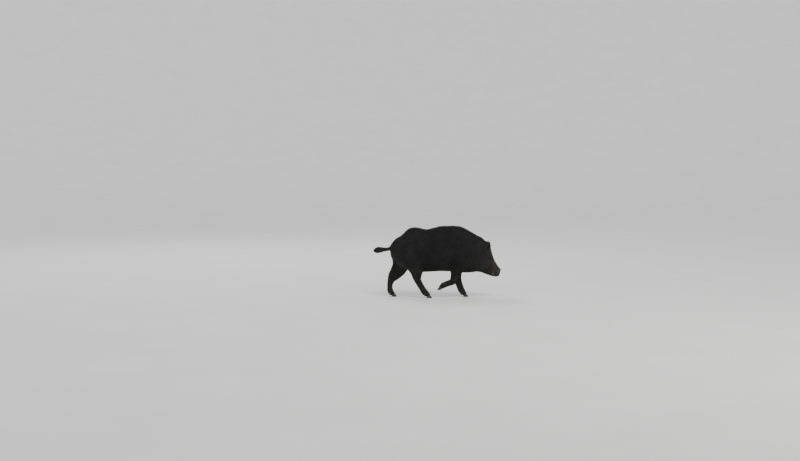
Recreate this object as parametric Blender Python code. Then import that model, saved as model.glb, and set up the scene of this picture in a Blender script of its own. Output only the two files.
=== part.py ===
"""Wild boar, life size, caught in a walk with its head carried low.

Metres, +Z up.  The boar faces +X, its right side is -Y.  The body is one
smooth form built from named cross-sections and limb lines, out to the tips of
the coat; it is parted by thin cuts into trunk, neck, head, lower jaw, tail and
legs.  Ears, eyes, tusks and hooves are shapes of their own.
"""
import math

import bmesh
import bpy
import numpy as np
from mathutils import Matrix, Vector

# ------------------------------------------------------------ driving sizes
CENTRE_X = -0.0105       # the design's middle, moved onto the frame's origin
CENTRE_Y = 0.0
GAP = 0.0004             # clear gap of every thin cut
CELL = 0.0095            # spacing of the net the body is drawn on
BODY_TRIANGLES = 4150    # body surface before it is parted

HEAD_PITCH = math.radians(38.0)       # the head's long axis, below level
NOSE = (0.702, 0.0, 0.282)            # centre of the snout disc
DISC_TURN = 0.38         # how much steeper the disc stands than the head's sections

EYE_RADIUS = 0.0125
HOOF_LENGTH = 0.056
HOOF_HEIGHT = 0.034
HOOF_WIDTH = 0.025
DEWCLAW_LENGTH = 0.030

# Trunk and neck, from rump to throat.  Station along X, top, bottom, half
# width, squareness, narrowing towards the top.
TRUNK = (
    (-0.522, 0.632, 0.440, 0.064, 2.0, 0.10),
    (-0.480, 0.667, 0.385, 0.098, 2.0, 0.10),
    (-0.410, 0.725, 0.345, 0.120, 2.1, 0.12),
    (-0.350, 0.784, 0.322, 0.132, 2.1, 0.16),
    (-0.290, 0.805, 0.305, 0.138, 2.1, 0.18),
    (-0.220, 0.799, 0.294, 0.141, 2.1, 0.18),
    (-0.140, 0.779, 0.293, 0.146, 2.1, 0.18),
    (-0.060, 0.795, 0.298, 0.153, 2.1, 0.22),
    (0.020, 0.814, 0.302, 0.158, 2.1, 0.26),
    (0.100, 0.817, 0.301, 0.160, 2.1, 0.30),
    (0.180, 0.819, 0.296, 0.158, 2.05, 0.32),
    (0.260, 0.810, 0.288, 0.150, 2.05, 0.32),
    (0.330, 0.776, 0.285, 0.137, 2.0, 0.28),
    (0.400, 0.737, 0.290, 0.122, 2.0, 0.22),
    (0.455, 0.704, 0.302, 0.106, 2.0, 0.16),
)
# Head, from the back of the skull to the snout disc, along its own axis.
HEAD = (
    (-0.370, 0.181, -0.135, 0.086, 2.0, 0.14),
    (-0.325, 0.200, -0.136, 0.088, 2.0, 0.16),
    (-0.280, 0.184, -0.134, 0.086, 2.0, 0.14),
    (-0.240, 0.153, -0.132, 0.081, 2.05, 0.08),
    (-0.200, 0.123, -0.128, 0.073, 2.1, 0.03),
    (-0.160, 0.095, -0.121, 0.061, 2.15, 0.03),
    (-0.120, 0.074, -0.111, 0.050, 2.2, 0.08),
    (-0.080, 0.060, -0.095, 0.044, 2.25, 0.10),
    (-0.048, 0.051, -0.071, 0.042, 2.3, 0.08),
    (-0.024, 0.046, -0.061, 0.038, 2.3, 0.05),
    (-0.010, 0.046, -0.054, 0.038, 2.3, 0.02),
    (0.000, 0.048, -0.051, 0.042, 2.3, 0.00),
)
# Limb lines.  x, y, z, half width across, thickness to the front, to the back.
HIND_LEFT = (
    (-0.400, 0.055, 0.600, 0.085, 0.105, 0.115),
    (-0.400, 0.075, 0.500, 0.075, 0.110, 0.130),
    (-0.405, 0.085, 0.410, 0.062, 0.090, 0.128),
    (-0.440, 0.082, 0.322, 0.050, 0.079, 0.086),
    (-0.492, 0.075, 0.255, 0.037, 0.064, 0.054),
    (-0.541, 0.068, 0.200, 0.030, 0.045, 0.040),
    (-0.557, 0.064, 0.145, 0.025, 0.033, 0.032),
    (-0.558, 0.061, 0.100, 0.024, 0.032, 0.031),
    (-0.553, 0.060, 0.068, 0.027, 0.033, 0.035),
    (-0.538, 0.060, 0.045, 0.026, 0.029, 0.031),
    (-0.524, 0.060, 0.032, 0.025, 0.024, 0.025),
)
HOCK_LEFT = (
    (-0.486, 0.078, 0.380, 0.032, 0.034, 0.034),
    (-0.529, 0.073, 0.305, 0.023, 0.024, 0.023),
    (-0.556, 0.070, 0.252, 0.019, 0.022, 0.020),
    (-0.556, 0.067, 0.205, 0.020, 0.022, 0.022),
)
HIND_RIGHT = (
    (-0.400, -0.055, 0.600, 0.085, 0.105, 0.115),
    (-0.345, -0.078, 0.500, 0.075, 0.110, 0.125),
    (-0.284, -0.092, 0.405, 0.062, 0.084, 0.106),
    (-0.247, -0.098, 0.320, 0.052, 0.066, 0.075),
    (-0.246, -0.098, 0.262, 0.038, 0.052, 0.052),
    (-0.241, -0.097, 0.212, 0.031, 0.040, 0.041),
    (-0.217, -0.094, 0.162, 0.026, 0.036, 0.036),
    (-0.186, -0.091, 0.110, 0.026, 0.034, 0.035),
    (-0.160, -0.090, 0.071, 0.028, 0.036, 0.037),
    (-0.136, -0.090, 0.048, 0.027, 0.031, 0.033),
    (-0.120, -0.090, 0.034, 0.025, 0.024, 0.026),
)
HOCK_RIGHT = (
    (-0.345, -0.090, 0.370, 0.032, 0.034, 0.034),
    (-0.303, -0.095, 0.305, 0.023, 0.024, 0.022),
    (-0.282, -0.097, 0.252, 0.019, 0.022, 0.021),
    (-0.256, -0.097, 0.210, 0.020, 0.022, 0.022),
)
FORE_LEFT = (
    (0.235, 0.050, 0.520, 0.070, 0.105, 0.105),
    (0.212, 0.078, 0.420, 0.062, 0.094, 0.095),
    (0.200, 0.084, 0.340, 0.052, 0.078, 0.078),
    (0.214, 0.079, 0.270, 0.042, 0.060, 0.057),
    (0.222, 0.070, 0.215, 0.036, 0.046, 0.045),
    (0.232, 0.062, 0.172, 0.033, 0.042, 0.042),
    (0.249, 0.054, 0.122, 0.028, 0.039, 0.037),
    (0.267, 0.048, 0.080, 0.029, 0.038, 0.038),
    (0.286, 0.045, 0.054, 0.028, 0.032, 0.034),
    (0.303, 0.045, 0.035, 0.025, 0.025, 0.026),
)
FORE_RIGHT = (
    (0.235, -0.050, 0.520, 0.070, 0.105, 0.105),
    (0.215, -0.080, 0.425, 0.062, 0.090, 0.092),
    (0.208, -0.088, 0.350, 0.052, 0.072, 0.074),
    (0.194, -0.088, 0.280, 0.042, 0.055, 0.054),
    (0.178, -0.085, 0.225, 0.036, 0.044, 0.042),
    (0.158, -0.082, 0.188, 0.032, 0.040, 0.037),
    (0.115, -0.078, 0.169, 0.027, 0.034, 0.033),
    (0.074, -0.076, 0.152, 0.028, 0.034, 0.034),
    (0.050, -0.075, 0.139, 0.028, 0.030, 0.031),
    (0.029, -0.075, 0.123, 0.025, 0.024, 0.025),
)
TAIL = (
    (-0.490, 0.000, 0.590, 0.040, 0.045, 0.045),
    (-0.530, 0.000, 0.567, 0.024, 0.032, 0.032),
    (-0.565, 0.000, 0.556, 0.016, 0.022, 0.022),
    (-0.605, 0.000, 0.551, 0.016, 0.022, 0.022),
    (-0.640, 0.000, 0.549, 0.018, 0.027, 0.027),
    (-0.680, 0.000, 0.545, 0.023, 0.037, 0.037),
    (-0.710, 0.000, 0.540, 0.019, 0.033, 0.033),
    (-0.729, 0.000, 0.536, 0.014, 0.021, 0.021),
)
# Each foot: point between the two main hooves on the sole, toe-down pitch,
# then where its dewclaws spring from that point (x, z) and which way they hang.
# The dewclaws are joined to the legs they grow from.
FEET = {
    "hind_left": ((-0.508, 0.060, 0.000), 0.0, (-0.048, 0.048), (-0.27, -0.96)),
    "hind_right": ((-0.104, -0.090, 0.000), 0.0,
                   (-0.050, 0.050), (-0.30, -0.95)),
    "front_left": ((0.319, 0.045, 0.000), 0.0, (-0.050, 0.050), (-0.27, -0.96)),
    "front_right": ((0.003, -0.075, 0.118), math.radians(135.0),
                    (0.058, 0.049), (-0.99, 0.09)),
}
# The space each leg is parted in: height, back, front, inner side.
LEG_SPACE = {
    "leg_front_left": ((-0.03, 0.14, 0.46, 0.004), (0.12, 0.12, 0.42, 0.004),
                       (0.24, 0.10, 0.34, 0.008), (0.31, 0.09, 0.31, 0.018),
                       (0.38, 0.09, 0.31, 0.050), (0.45, 0.11, 0.31, 0.085),
                       (0.50, 0.14, 0.305, 0.112), (0.535, 0.18, 0.29, 0.130)),
    "leg_front_right": ((0.02, -0.08, 0.24, 0.010), (0.12, -0.03, 0.28, 0.010),
                        (0.24, 0.06, 0.31, 0.012), (0.31, 0.08, 0.31, 0.022),
                        (0.38, 0.09, 0.31, 0.052), (0.45, 0.11, 0.31, 0.086),
                        (0.50, 0.14, 0.305, 0.112),
                        (0.535, 0.18, 0.29, 0.130)),
    "leg_hind_left": ((-0.03, -0.64, -0.42, 0.004), (0.15, -0.64, -0.45, 0.004),
                      (0.24, -0.65, -0.33, 0.006), (0.31, -0.64, -0.27, 0.010),
                      (0.38, -0.61, -0.27, 0.026), (0.46, -0.57, -0.29, 0.060),
                      (0.52, -0.53, -0.32, 0.088), (0.56, -0.49, -0.36, 0.108)),
    "leg_hind_right": ((-0.03, -0.24, 0.0, 0.010), (0.15, -0.34, -0.11, 0.010),
                       (0.24, -0.37, -0.13, 0.012), (0.31, -0.43, -0.13, 0.020),
                       (0.38, -0.47, -0.15, 0.040), (0.46, -0.49, -0.20, 0.070),
                       (0.52, -0.48, -0.25, 0.092),
                       (0.56, -0.45, -0.30, 0.110)),
}
OUTSIDE = 0.26           # the spaces reach this far out from the middle

COAT = (0.030, 0.028, 0.024)
COAT_WARM = (0.050, 0.043, 0.033)
HORN = (0.035, 0.030, 0.025)
IVORY = (0.62, 0.56, 0.43)
EYE = (0.015, 0.010, 0.008)

E1 = np.array((math.cos(HEAD_PITCH), 0.0, -math.sin(HEAD_PITCH)))
E2 = np.array((0.0, 1.0, 0.0))
E3 = np.array((math.sin(HEAD_PITCH), 0.0, math.cos(HEAD_PITCH)))
NOSE = np.array(NOSE)


def head_at(s, y, h):
    """A point s along the head's axis (+ past the nose), y left, h up."""
    return NOSE + s * E1 + y * E2 + h * E3


# ----------------------------------------------------------------- the form
def curve(xs, ys, q):
    """Smooth curve through the rows (xs, ys), read at q."""
    xs = np.asarray(xs, float)
    ys = np.asarray(ys, float)
    h = (xs[1:] - xs[:-1])[:, None]
    d = (ys[1:] - ys[:-1]) / h
    m = np.empty_like(ys)
    m[1:-1] = (d[:-1] * h[1:] + d[1:] * h[:-1]) / (h[1:] + h[:-1])
    m[0], m[-1] = d[0], d[-1]
    q = np.clip(q, xs[0], xs[-1])
    i = np.clip(np.searchsorted(xs, q, side="right") - 1, 0, len(xs) - 2)
    w = (xs[i + 1] - xs[i])[:, None]
    t = (q - xs[i])[:, None] / w
    t2, t3 = t * t, t * t * t
    return ((2 * t3 - 3 * t2 + 1) * ys[i] + (t3 - 2 * t2 + t) * w * m[i]
            + (-2 * t3 + 3 * t2) * ys[i + 1] + (t3 - t2) * w * m[i + 1])


def turned(s, h):
    """Place along the head, its sections standing steeper at the snout."""
    t = np.clip((s + 0.090) / 0.075, 0, 1)
    return s + DISC_TURN * h * t * t * (3 - 2 * t)


class Slices:
    """Cross-sections along a straight axis."""

    def __init__(self, rows, origin, axis, up, caps, blend, turn=None):
        rows = np.array(rows, float)
        self.s, self.rows, self.turn = rows[:, 0], rows[:, 1:], turn
        self.o, self.e1, self.e3 = np.array(origin), axis, up
        self.caps, self.k = caps, blend
        pts = []
        for s, top, bot, w in rows[:, :4]:
            for h in (top, bot):
                for y in (-w, w):
                    pts.append(self.o + s * axis + h * up + y * E2)
        self.lo, self.hi = np.min(pts, 0), np.max(pts, 0)

    def __call__(self, P):
        Q = P - self.o
        s, y, h = Q @ self.e1, Q[:, 1], Q @ self.e3
        if self.turn:
            s = self.turn(s, h)
        sc = np.clip(s, self.s[0], self.s[-1])
        top, bot, w, p, tp = curve(self.s, self.rows, sc).T
        hc, hh = (top + bot) / 2, (top - bot) / 2
        v = (h - hc) / hh
        w = w * (1 - tp * np.clip(v, -1.3, 1.3))
        over = s - sc
        cap = np.where(over < 0, self.caps[0], self.caps[1])
        r = (np.abs(y / w) ** p + np.abs(v) ** p) ** (2 / p)
        r = np.sqrt(r + (over / cap) ** 2 + 1e-9)
        D = np.sqrt(y * y + (h - hc) ** 2 + over * over)
        return D * (1 - 1 / r)


class Tube:
    """A limb along a bent line."""

    def __init__(self, rows, blend, n=4):
        rows = np.array(rows, float)
        t = np.arange(len(rows), dtype=float)
        q = np.linspace(0, len(rows) - 1, (len(rows) - 1) * n + 1)
        self.pts, self.k = curve(t, rows, q), blend
        r = self.pts[:, 3:].max(1)[:, None]
        self.lo = (self.pts[:, :3] - r).min(0)
        self.hi = (self.pts[:, :3] + r).max(0)

    def __call__(self, P):
        best = np.full(len(P), 9.0)
        for a, b in zip(self.pts[:-1], self.pts[1:]):
            ab = b[:3] - a[:3]
            n2 = ab @ ab
            T = ab / math.sqrt(n2)
            L = E2 - T * T[1]
            L /= np.linalg.norm(L)
            F = np.cross(T, L)
            t = np.clip((P - a[:3]) @ ab / n2, 0, 1)
            D = P - (a[:3] + t[:, None] * ab)
            rad = a[3:] + t[:, None] * (b[3:] - a[3:])
            u, v, w = D @ L, D @ F, D @ T
            fb = np.where(v > 0, rad[:, 1], rad[:, 2])
            c = np.minimum(rad[:, 0], fb)
            r = np.sqrt((u / rad[:, 0]) ** 2 + (v / fb) ** 2
                        + (w / c) ** 2 + 1e-12)
            best = np.minimum(best, np.sqrt(u * u + v * v + w * w)
                              * (1 - 1 / r))
        return best


class Blob:
    """An ellipsoid, in the frame of three given axes."""

    def __init__(self, centre, radii, axes, blend, hollow=False):
        self.c, self.r = np.array(centre, float), np.array(radii, float)
        self.R, self.k, self.hollow = np.array(axes, float), blend, hollow
        big = self.r.max()
        self.lo, self.hi = self.c - big, self.c + big

    def __call__(self, P):
        Q = (P - self.c) @ self.R.T
        r = np.sqrt(((Q / self.r) ** 2).sum(1) + 1e-12)
        return np.sqrt((Q * Q).sum(1)) * (1 - 1 / r)


def smooth_min(a, b, k):
    h = np.clip(0.5 + 0.5 * (b - a) / k, 0, 1)
    return b + (a - b) * h - k * h * (1 - h)


def lean(angle, turn=0.0):
    """Axes leaned by angle below level along X and turned about Z."""
    cl, sl, ct, st = (math.cos(angle), math.sin(angle),
                      math.cos(turn), math.sin(turn))
    a = np.array((cl * ct, cl * st, -sl))
    n = np.array((sl * ct, sl * st, cl))
    return a, np.cross(n, a), n


def make_forms():
    head_axes = (E1, E2, E3)
    forms = [
        Slices(TRUNK, (0, 0, 0), np.array((1.0, 0, 0)),
               np.array((0, 0, 1.0)), (0.032, 0.09), 0.05),
        Slices(HEAD, NOSE, E1, E3, (0.09, 0.013), 0.045, turned),
    ]
    for side in (1, -1):
        # shoulder blade and upper arm, round of the rump
        forms.append(Blob((0.215, side * 0.082, 0.500), (0.20, 0.072, 0.115),
                          lean(math.radians(62)), 0.05))
        forms.append(Blob((-0.395, side * 0.066, 0.555), (0.14, 0.075, 0.13),
                          lean(math.radians(20)), 0.05))
        # cheek with its beard, brow, lip over the tusk
        forms.append(Blob(head_at(-0.215, side * 0.052, -0.030),
                          (0.085, 0.046, 0.085), head_axes, 0.03))
        forms.append(Blob(head_at(-0.203, side * 0.046, 0.087),
                          (0.036, 0.013, 0.011), head_axes, 0.035))
        forms.append(Blob(head_at(-0.062, side * 0.036, -0.020),
                          (0.036, 0.016, 0.022), head_axes, 0.014))
    forms += [
        Tube(HIND_LEFT, 0.045), Tube(HOCK_LEFT, 0.018),
        Tube(HIND_RIGHT, 0.045), Tube(HOCK_RIGHT, 0.018),
        Tube(FORE_LEFT, 0.04), Tube(FORE_RIGHT, 0.04),
        Tube(TAIL, 0.02),
    ]
    # hollow in front of each eye, and the eye's own bay
    for side in (1, -1):
        forms.append(Blob(head_at(-0.160, side * 0.074, 0.050),
                          (0.040, 0.015, 0.018), head_axes, 0.025, True))
    return forms


FORMS = make_forms()


def field(P):
    """Below zero inside the body, about the distance to it outside."""
    out = np.full(len(P), 9.0)
    for f in FORMS:
        m = 0.10
        near = np.all((P > f.lo - m) & (P < f.hi + m), axis=1)
        if not near.any():
            continue
        d = f(P[near])
        if f.hollow if isinstance(f, Blob) else False:
            out[near] = -smooth_min(-out[near], d, f.k)
        else:
            out[near] = smooth_min(out[near], d, f.k)
    return out


def gradient(P, e=0.0008):
    k = np.array(((1, -1, -1), (-1, -1, 1), (-1, 1, -1), (1, 1, 1)), float)
    g = sum(v * field(P + v * e)[:, None] for v in k)
    return g / (4 * e)


def surface_net(lo, hi, h):
    """The form's surface as a net of quads: one point per crossed cell."""
    lo, hi = np.array(lo, float), np.array(hi, float)
    n = np.ceil((hi - lo) / h).astype(int) + 1
    xs, ys, zs = (lo[i] + h * np.arange(n[i]) for i in range(3))
    F = np.empty(n)
    Y, Z = np.meshgrid(ys, zs, indexing="ij")
    for i, x in enumerate(xs):
        P = np.stack((np.full(Y.size, x), Y.ravel(), Z.ravel()), 1)
        F[i] = field(P).reshape(Y.shape)
    inside = F < 0
    total = np.zeros(tuple(n - 1) + (3,))
    count = np.zeros(tuple(n - 1))

    def part(A, o):
        return A[o[0]:n[0] - 1 + o[0], o[1]:n[1] - 1 + o[1],
                 o[2]:n[2] - 1 + o[2]]

    for axis in range(3):
        for b in (0, 1):
            for c in (0, 1):
                o0 = [0, 0, 0]
                o0[(axis + 1) % 3], o0[(axis + 2) % 3] = b, c
                o1 = list(o0)
                o1[axis] = 1
                fa, fb = part(F, o0), part(F, o1)
                cross = part(inside, o0) != part(inside, o1)
                t = np.where(cross, fa / np.where(cross, fa - fb, 1.0), 0.0)
                for k in range(3):
                    total[..., k] += cross * (t if k == axis else o0[k])
                count += cross
    active = count > 0
    index = np.full(active.shape, -1)
    index[active] = np.arange(active.sum())
    cells = np.argwhere(active)
    V = lo + h * (cells + total[active] / count[active][:, None])
    faces = []
    for axis in range(3):
        u, v = (axis + 1) % 3, (axis + 2) % 3
        a = [slice(None)] * 3
        b = [slice(None)] * 3
        a[axis], b[axis] = slice(0, -1), slice(1, None)
        ia, ib = inside[tuple(a)], inside[tuple(b)]
        for p in np.argwhere(ia != ib):
            if p[u] == 0 or p[v] == 0:
                continue
            q = [tuple(p), None, None, None]
            for k, (du, dv) in enumerate(((0, 0), (1, 0), (1, 1), (0, 1))):
                r = p.copy()
                r[u] -= du
                r[v] -= dv
                q[k] = index[tuple(r)]
            if not ia[tuple(p)]:
                q.reverse()
            faces.append(q)
    return V, faces


# ------------------------------------------------------------ mesh utilities
def clear_scene():
    for ob in list(bpy.data.objects):
        bpy.data.objects.remove(ob, do_unlink=True)


def material(name, colour, roughness, metallic=0.0):
    m = bpy.data.materials.new(name)
    m.use_nodes = True
    bsdf = m.node_tree.nodes["Principled BSDF"]
    bsdf.inputs["Base Color"].default_value = (*colour, 1.0)
    bsdf.inputs["Roughness"].default_value = roughness
    bsdf.inputs["Metallic"].default_value = metallic
    m.diffuse_color = (*colour, 1.0)
    return m


def new_object(name, V, faces, mat=None):
    me = bpy.data.meshes.new(name)
    me.from_pydata([tuple(v) for v in V], [], [tuple(f) for f in faces])
    me.update()
    bm = bmesh.new()
    bm.from_mesh(me)
    bmesh.ops.recalc_face_normals(bm, faces=bm.faces)
    bm.to_mesh(me)
    bm.free()
    ob = bpy.data.objects.new(name, me)
    bpy.context.scene.collection.objects.link(ob)
    if mat:
        me.materials.append(mat)
    return ob


def baked(ob, name, mat=None):
    """A plain copy of ob as its modifiers leave it; ob is removed."""
    dg = bpy.context.evaluated_depsgraph_get()
    me = bpy.data.meshes.new_from_object(ob.evaluated_get(dg))
    out = bpy.data.objects.new(name, me)
    out.matrix_world = ob.matrix_world
    bpy.context.scene.collection.objects.link(out)
    bpy.data.objects.remove(ob, do_unlink=True)
    if mat:
        me.materials.clear()
        me.materials.append(mat)
    return out


def boolean(ob, cutter, kind, name):
    """ob cut by cutter into a new object; both inputs stay."""
    copy = bpy.data.objects.new("work", ob.data.copy())
    copy.matrix_world = ob.matrix_world
    bpy.context.scene.collection.objects.link(copy)
    m = copy.modifiers.new("cut", 'BOOLEAN')
    m.operation, m.object, m.solver = kind, cutter, 'EXACT'
    return baked(copy, name)


def drop(*obs):
    for ob in obs:
        bpy.data.objects.remove(ob, do_unlink=True)


def tidy(ob, merge=0.00012):
    """Weld slivers left by a cut and keep the largest piece."""
    bm = bmesh.new()
    bm.from_mesh(ob.data)
    bmesh.ops.triangulate(bm, faces=bm.faces)
    bmesh.ops.remove_doubles(bm, verts=bm.verts, dist=merge)
    bmesh.ops.dissolve_degenerate(bm, edges=bm.edges, dist=merge / 2)
    bmesh.ops.triangulate(bm, faces=bm.faces)
    left, pieces = set(bm.verts), []
    while left:
        stack, seen = [left.pop()], set()
        while stack:
            v = stack.pop()
            seen.add(v)
            for e in v.link_edges:
                w = e.other_vert(v)
                if w in left:
                    left.discard(w)
                    stack.append(w)
        pieces.append(seen)
    pieces.sort(key=len, reverse=True)
    extra = [v for p in pieces[1:] for v in p]
    if extra:
        bmesh.ops.delete(bm, geom=extra, context='VERTS')
    bmesh.ops.recalc_face_normals(bm, faces=bm.faces)
    bm.to_mesh(ob.data)
    bm.free()
    return ob


def grown(ob, by, name="grown"):
    """A copy of ob with its skin moved out by the given amount."""
    copy = bpy.data.objects.new(name, ob.data.copy())
    copy.matrix_world = ob.matrix_world
    bpy.context.scene.collection.objects.link(copy)
    me = copy.data
    normals = [v.normal.copy() for v in me.vertices]
    for v, n in zip(me.vertices, normals):
        v.co += n * by
    return copy


def egg(name, centre, radii, axes, power=2.0, rings=10, segments=20):
    """A closed superellipsoid on the given axes."""
    centre = np.array(centre, float)
    axes = np.array(axes, float)

    def sp(x):
        return math.copysign(abs(x) ** (2 / power), x)

    V = [centre - radii[2] * axes[2]]
    for i in range(1, rings):
        a = math.pi * i / rings - math.pi / 2
        for j in range(segments):
            b = 2 * math.pi * j / segments
            p = (radii[0] * sp(math.cos(a)) * sp(math.cos(b)),
                 radii[1] * sp(math.cos(a)) * sp(math.sin(b)),
                 radii[2] * sp(math.sin(a)))
            V.append(centre + p[0] * axes[0] + p[1] * axes[1]
                     + p[2] * axes[2])
    V.append(centre + radii[2] * axes[2])
    F = []
    for j in range(segments):
        k = (j + 1) % segments
        F.append((0, 1 + k, 1 + j))
        top = 1 + (rings - 2) * segments
        F.append((len(V) - 1, top + j, top + k))
        for i in range(rings - 2):
            a = 1 + i * segments
            F.append((a + j, a + k, a + segments + k, a + segments + j))
    return new_object(name, V, F)


def loft(name, rings, mat=None):
    """A closed skin over rings of equal point counts, capped flat."""
    n = len(rings[0])
    V = [p for ring in rings for p in ring]
    F = []
    for i in range(len(rings) - 1):
        for j in range(n):
            k = (j + 1) % n
            F.append((i * n + j, i * n + k, (i + 1) * n + k, (i + 1) * n + j))
    F.append(tuple(reversed(range(n))))
    F.append(tuple((len(rings) - 1) * n + j for j in range(n)))
    return new_object(name, V, F, mat)


def prism(name, outline, half, place):
    """An outline in (s, h), pushed out to +-half across, put by place."""
    V = [place(s, y, h) for y in (-half, half) for s, h in outline]
    n = len(outline)
    F = [tuple(range(n)), tuple(reversed(range(n, 2 * n)))]
    F += [(i, (i + 1) % n, n + (i + 1) % n, n + i) for i in range(n)]
    return new_object(name, V, F)


def slab(name, point, normal, size, keep_front):
    """A big box whose face lies on a plane, on one side of it."""
    n = Vector(normal).normalized()
    if not keep_front:
        n = -n
    rot = n.to_track_quat('Z', 'Y').to_matrix().to_4x4()
    bm = bmesh.new()
    bmesh.ops.create_cube(bm, size=1.0)
    bm.transform(Matrix.Diagonal((size, size, size, 1.0)))
    bm.transform(Matrix.Translation((0, 0, size / 2)))
    bm.transform(Matrix.Translation(Vector(point)) @ rot)
    me = bpy.data.meshes.new(name)
    bm.to_mesh(me)
    bm.free()
    ob = bpy.data.objects.new(name, me)
    bpy.context.scene.collection.objects.link(ob)
    return ob


def leg_space(name, rows, side, more):
    """A rounded block standing round a leg, leaning out at its top."""
    rings = []
    for i, (z, back, front, inner) in enumerate(rows):
        back, front, inner = back - more, front + more, inner - more
        if i == len(rows) - 1:
            z += more
        ring = []
        for k in range(14):
            a = 2 * math.pi * k / 14
            c, q = math.cos(a), math.sin(a)
            c = math.copysign(abs(c) ** 0.6, c)
            q = math.copysign(abs(q) ** 0.6, q)
            ring.append(((back + front) / 2 + c * (front - back) / 2,
                         side * ((inner + OUTSIDE) / 2
                                 + q * (OUTSIDE - inner) / 2), z))
        rings.append(ring)
    return loft(name, rings)


# ------------------------------------------------------------- hard pieces
def hoof(name, foot, pitch, side, mat):
    """One of the two main hooves: a pointed wedge with a flat sole."""
    L, H, W = HOOF_LENGTH, HOOF_HEIGHT, HOOF_WIDTH
    rows = ((-0.42, 0.72, 0.90), (-0.15, 0.98, 1.00), (0.12, 0.98, 0.90),
            (0.38, 0.70, 0.60), (0.54, 0.24, 0.24))
    rings = []
    for t, wide, high in rows:
        ring = []
        for a in range(8):
            ang = 2 * math.pi * (a + 0.5) / 8
            c, s = math.cos(ang), math.sin(ang)
            y = 0.5 * W * wide * math.copysign(abs(c) ** 0.8, c)
            z = 0.5 * H * high * (1 + math.copysign(abs(s) ** 0.8, s))
            if s > 0:
                y *= 1 - 0.18 * s
            elif s < -0.9:
                y *= 1.7
            z = max(0.0, z * 1.06 - 0.0022)
            ring.append((t * L, y, z))
        rings.append(ring)
    cp, sp = math.cos(pitch), math.sin(pitch)
    turn = math.radians(5.0) * side
    out = []
    for ring in rings:
        pts = []
        for x, y, z in ring:
            y += side * (W * 0.5 + 0.0012)
            x, y = (x * math.cos(turn) - y * math.sin(turn),
                    x * math.sin(turn) + y * math.cos(turn))
            pts.append((foot[0] + x * cp + z * sp, foot[1] + y,
                        foot[2] - x * sp + z * cp))
        out.append(pts)
    return loft(name, out, mat)


def dewclaw(name, foot, spring, hang, side, mat):
    """One of the two small hooves behind and above the main pair."""
    rings = []
    for t, r in ((0.0, 0.0092), (0.55, 0.0084), (1.0, 0.0034)):
        ring = []
        for a in range(6):
            ang = 2 * math.pi * a / 6
            u, v = r * math.cos(ang), r * math.sin(ang)
            along = t * DEWCLAW_LENGTH
            ring.append((foot[0] + spring[0] + along * hang[0] - v * hang[1],
                         foot[1] + side * (0.019 + 0.005 * t) + u,
                         foot[2] + spring[1] + along * hang[1] + v * hang[0]))
        rings.append(ring)
    return loft(name, rings, mat)


def ear(name, side, mat):
    """An erect pointed ear: a curled leaf, hollow to the front."""
    base = np.array((0.543, side * 0.062, 0.520))
    tip = np.array((0.589, side * 0.106, 0.647))
    axis = tip - base
    length = np.linalg.norm(axis)
    T = axis / length
    front = np.array((0.70, side * 0.72, 0.0))
    N = front - T * (front @ T)
    N /= np.linalg.norm(N)
    S = np.cross(N, T)
    rows, cols, thick = 7, 7, 0.0050
    outer, inner = [], []
    for i in range(rows):
        t = i / (rows - 1)
        half = 0.038 * (math.sin(math.pi * min(1, 0.30 + 0.70 * t)) ** 0.8) \
            * (1 - t ** 4) + 0.004
        curl = 1.25 * (1 - 0.55 * t)
        for j in range(cols):
            v = -1 + 2 * j / (cols - 1)
            a = v * curl
            r = half / max(0.3, math.sin(curl))
            p = (base + T * (t * length)
                 + S * (r * math.sin(a)) + N * (r * (math.cos(curl)
                                                     - math.cos(a))))
            n = S * math.sin(a) - N * math.cos(a)
            w = thick * (1 - 0.45 * v * v) * (1.5 - 0.8 * t)
            outer.append(p + n * w)
            inner.append(p)
    V = outer + inner
    m = rows * cols
    F = []
    for i in range(rows - 1):
        for j in range(cols - 1):
            a = i * cols + j
            F.append((a, a + 1, a + cols + 1, a + cols))
            F.append((m + a, m + a + cols, m + a + cols + 1, m + a + 1))
    for i in range(rows - 1):
        for j in (0, cols - 1):
            a = i * cols + j
            F.append((a, a + cols, m + a + cols, m + a))
    for i in (0, rows - 1):
        for j in range(cols - 1):
            a = i * cols + j
            F.append((a, m + a, m + a + 1, a + 1))
    return new_object(name, V, F, mat)


def tusk(name, side, mat):
    """A lower tusk, curling up and out from the lip."""
    rings = []
    for i in range(5):
        t = i / 4
        a = math.radians(10 + 70 * t)
        c = head_at(-0.058 - 0.014 * t * t,
                    side * (0.0385 + 0.027 * math.sin(1.3 * t)),
                    -0.064 + 0.044 * t)
        r = 0.0062 * (1 - t) ** 0.6 + 0.0010
        ring = []
        for k in range(6):
            b = 2 * math.pi * k / 6
            ring.append(c + r * math.cos(b) * E1
                        + r * math.sin(b) * (E2 * 0.95 - E3 * 0.3 * side))
        rings.append(ring)
    return loft(name, rings, mat)


# -------------------------------------------------------------------- build
clear_scene()
coat = material("coat", COAT, 0.75)
coat_warm = material("coat_warm", COAT_WARM, 0.75)
horn = material("horn", HORN, 0.55)
ivory = material("ivory", IVORY, 0.40)
eye_mat = material("eye_dark", EYE, 0.10)

V, faces = surface_net((-0.775, -0.200, -0.010), (0.745, 0.200, 0.845), CELL)
for _ in range(3):
    d = field(V)
    g = gradient(V)
    g2 = np.maximum((g * g).sum(1), 0.05)
    V = V - np.clip(d / g2, -0.004, 0.004)[:, None] * g

body = new_object("body_whole", V, faces)
bm = bmesh.new()
bm.from_mesh(body.data)
bmesh.ops.triangulate(bm, faces=bm.faces)
bm.to_mesh(body.data)
count = len(bm.faces)
bm.free()
dec = body.modifiers.new("fewer", 'DECIMATE')
dec.ratio = BODY_TRIANGLES / count
body = tidy(baked(body, "body_whole"), 0.0009)

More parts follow.
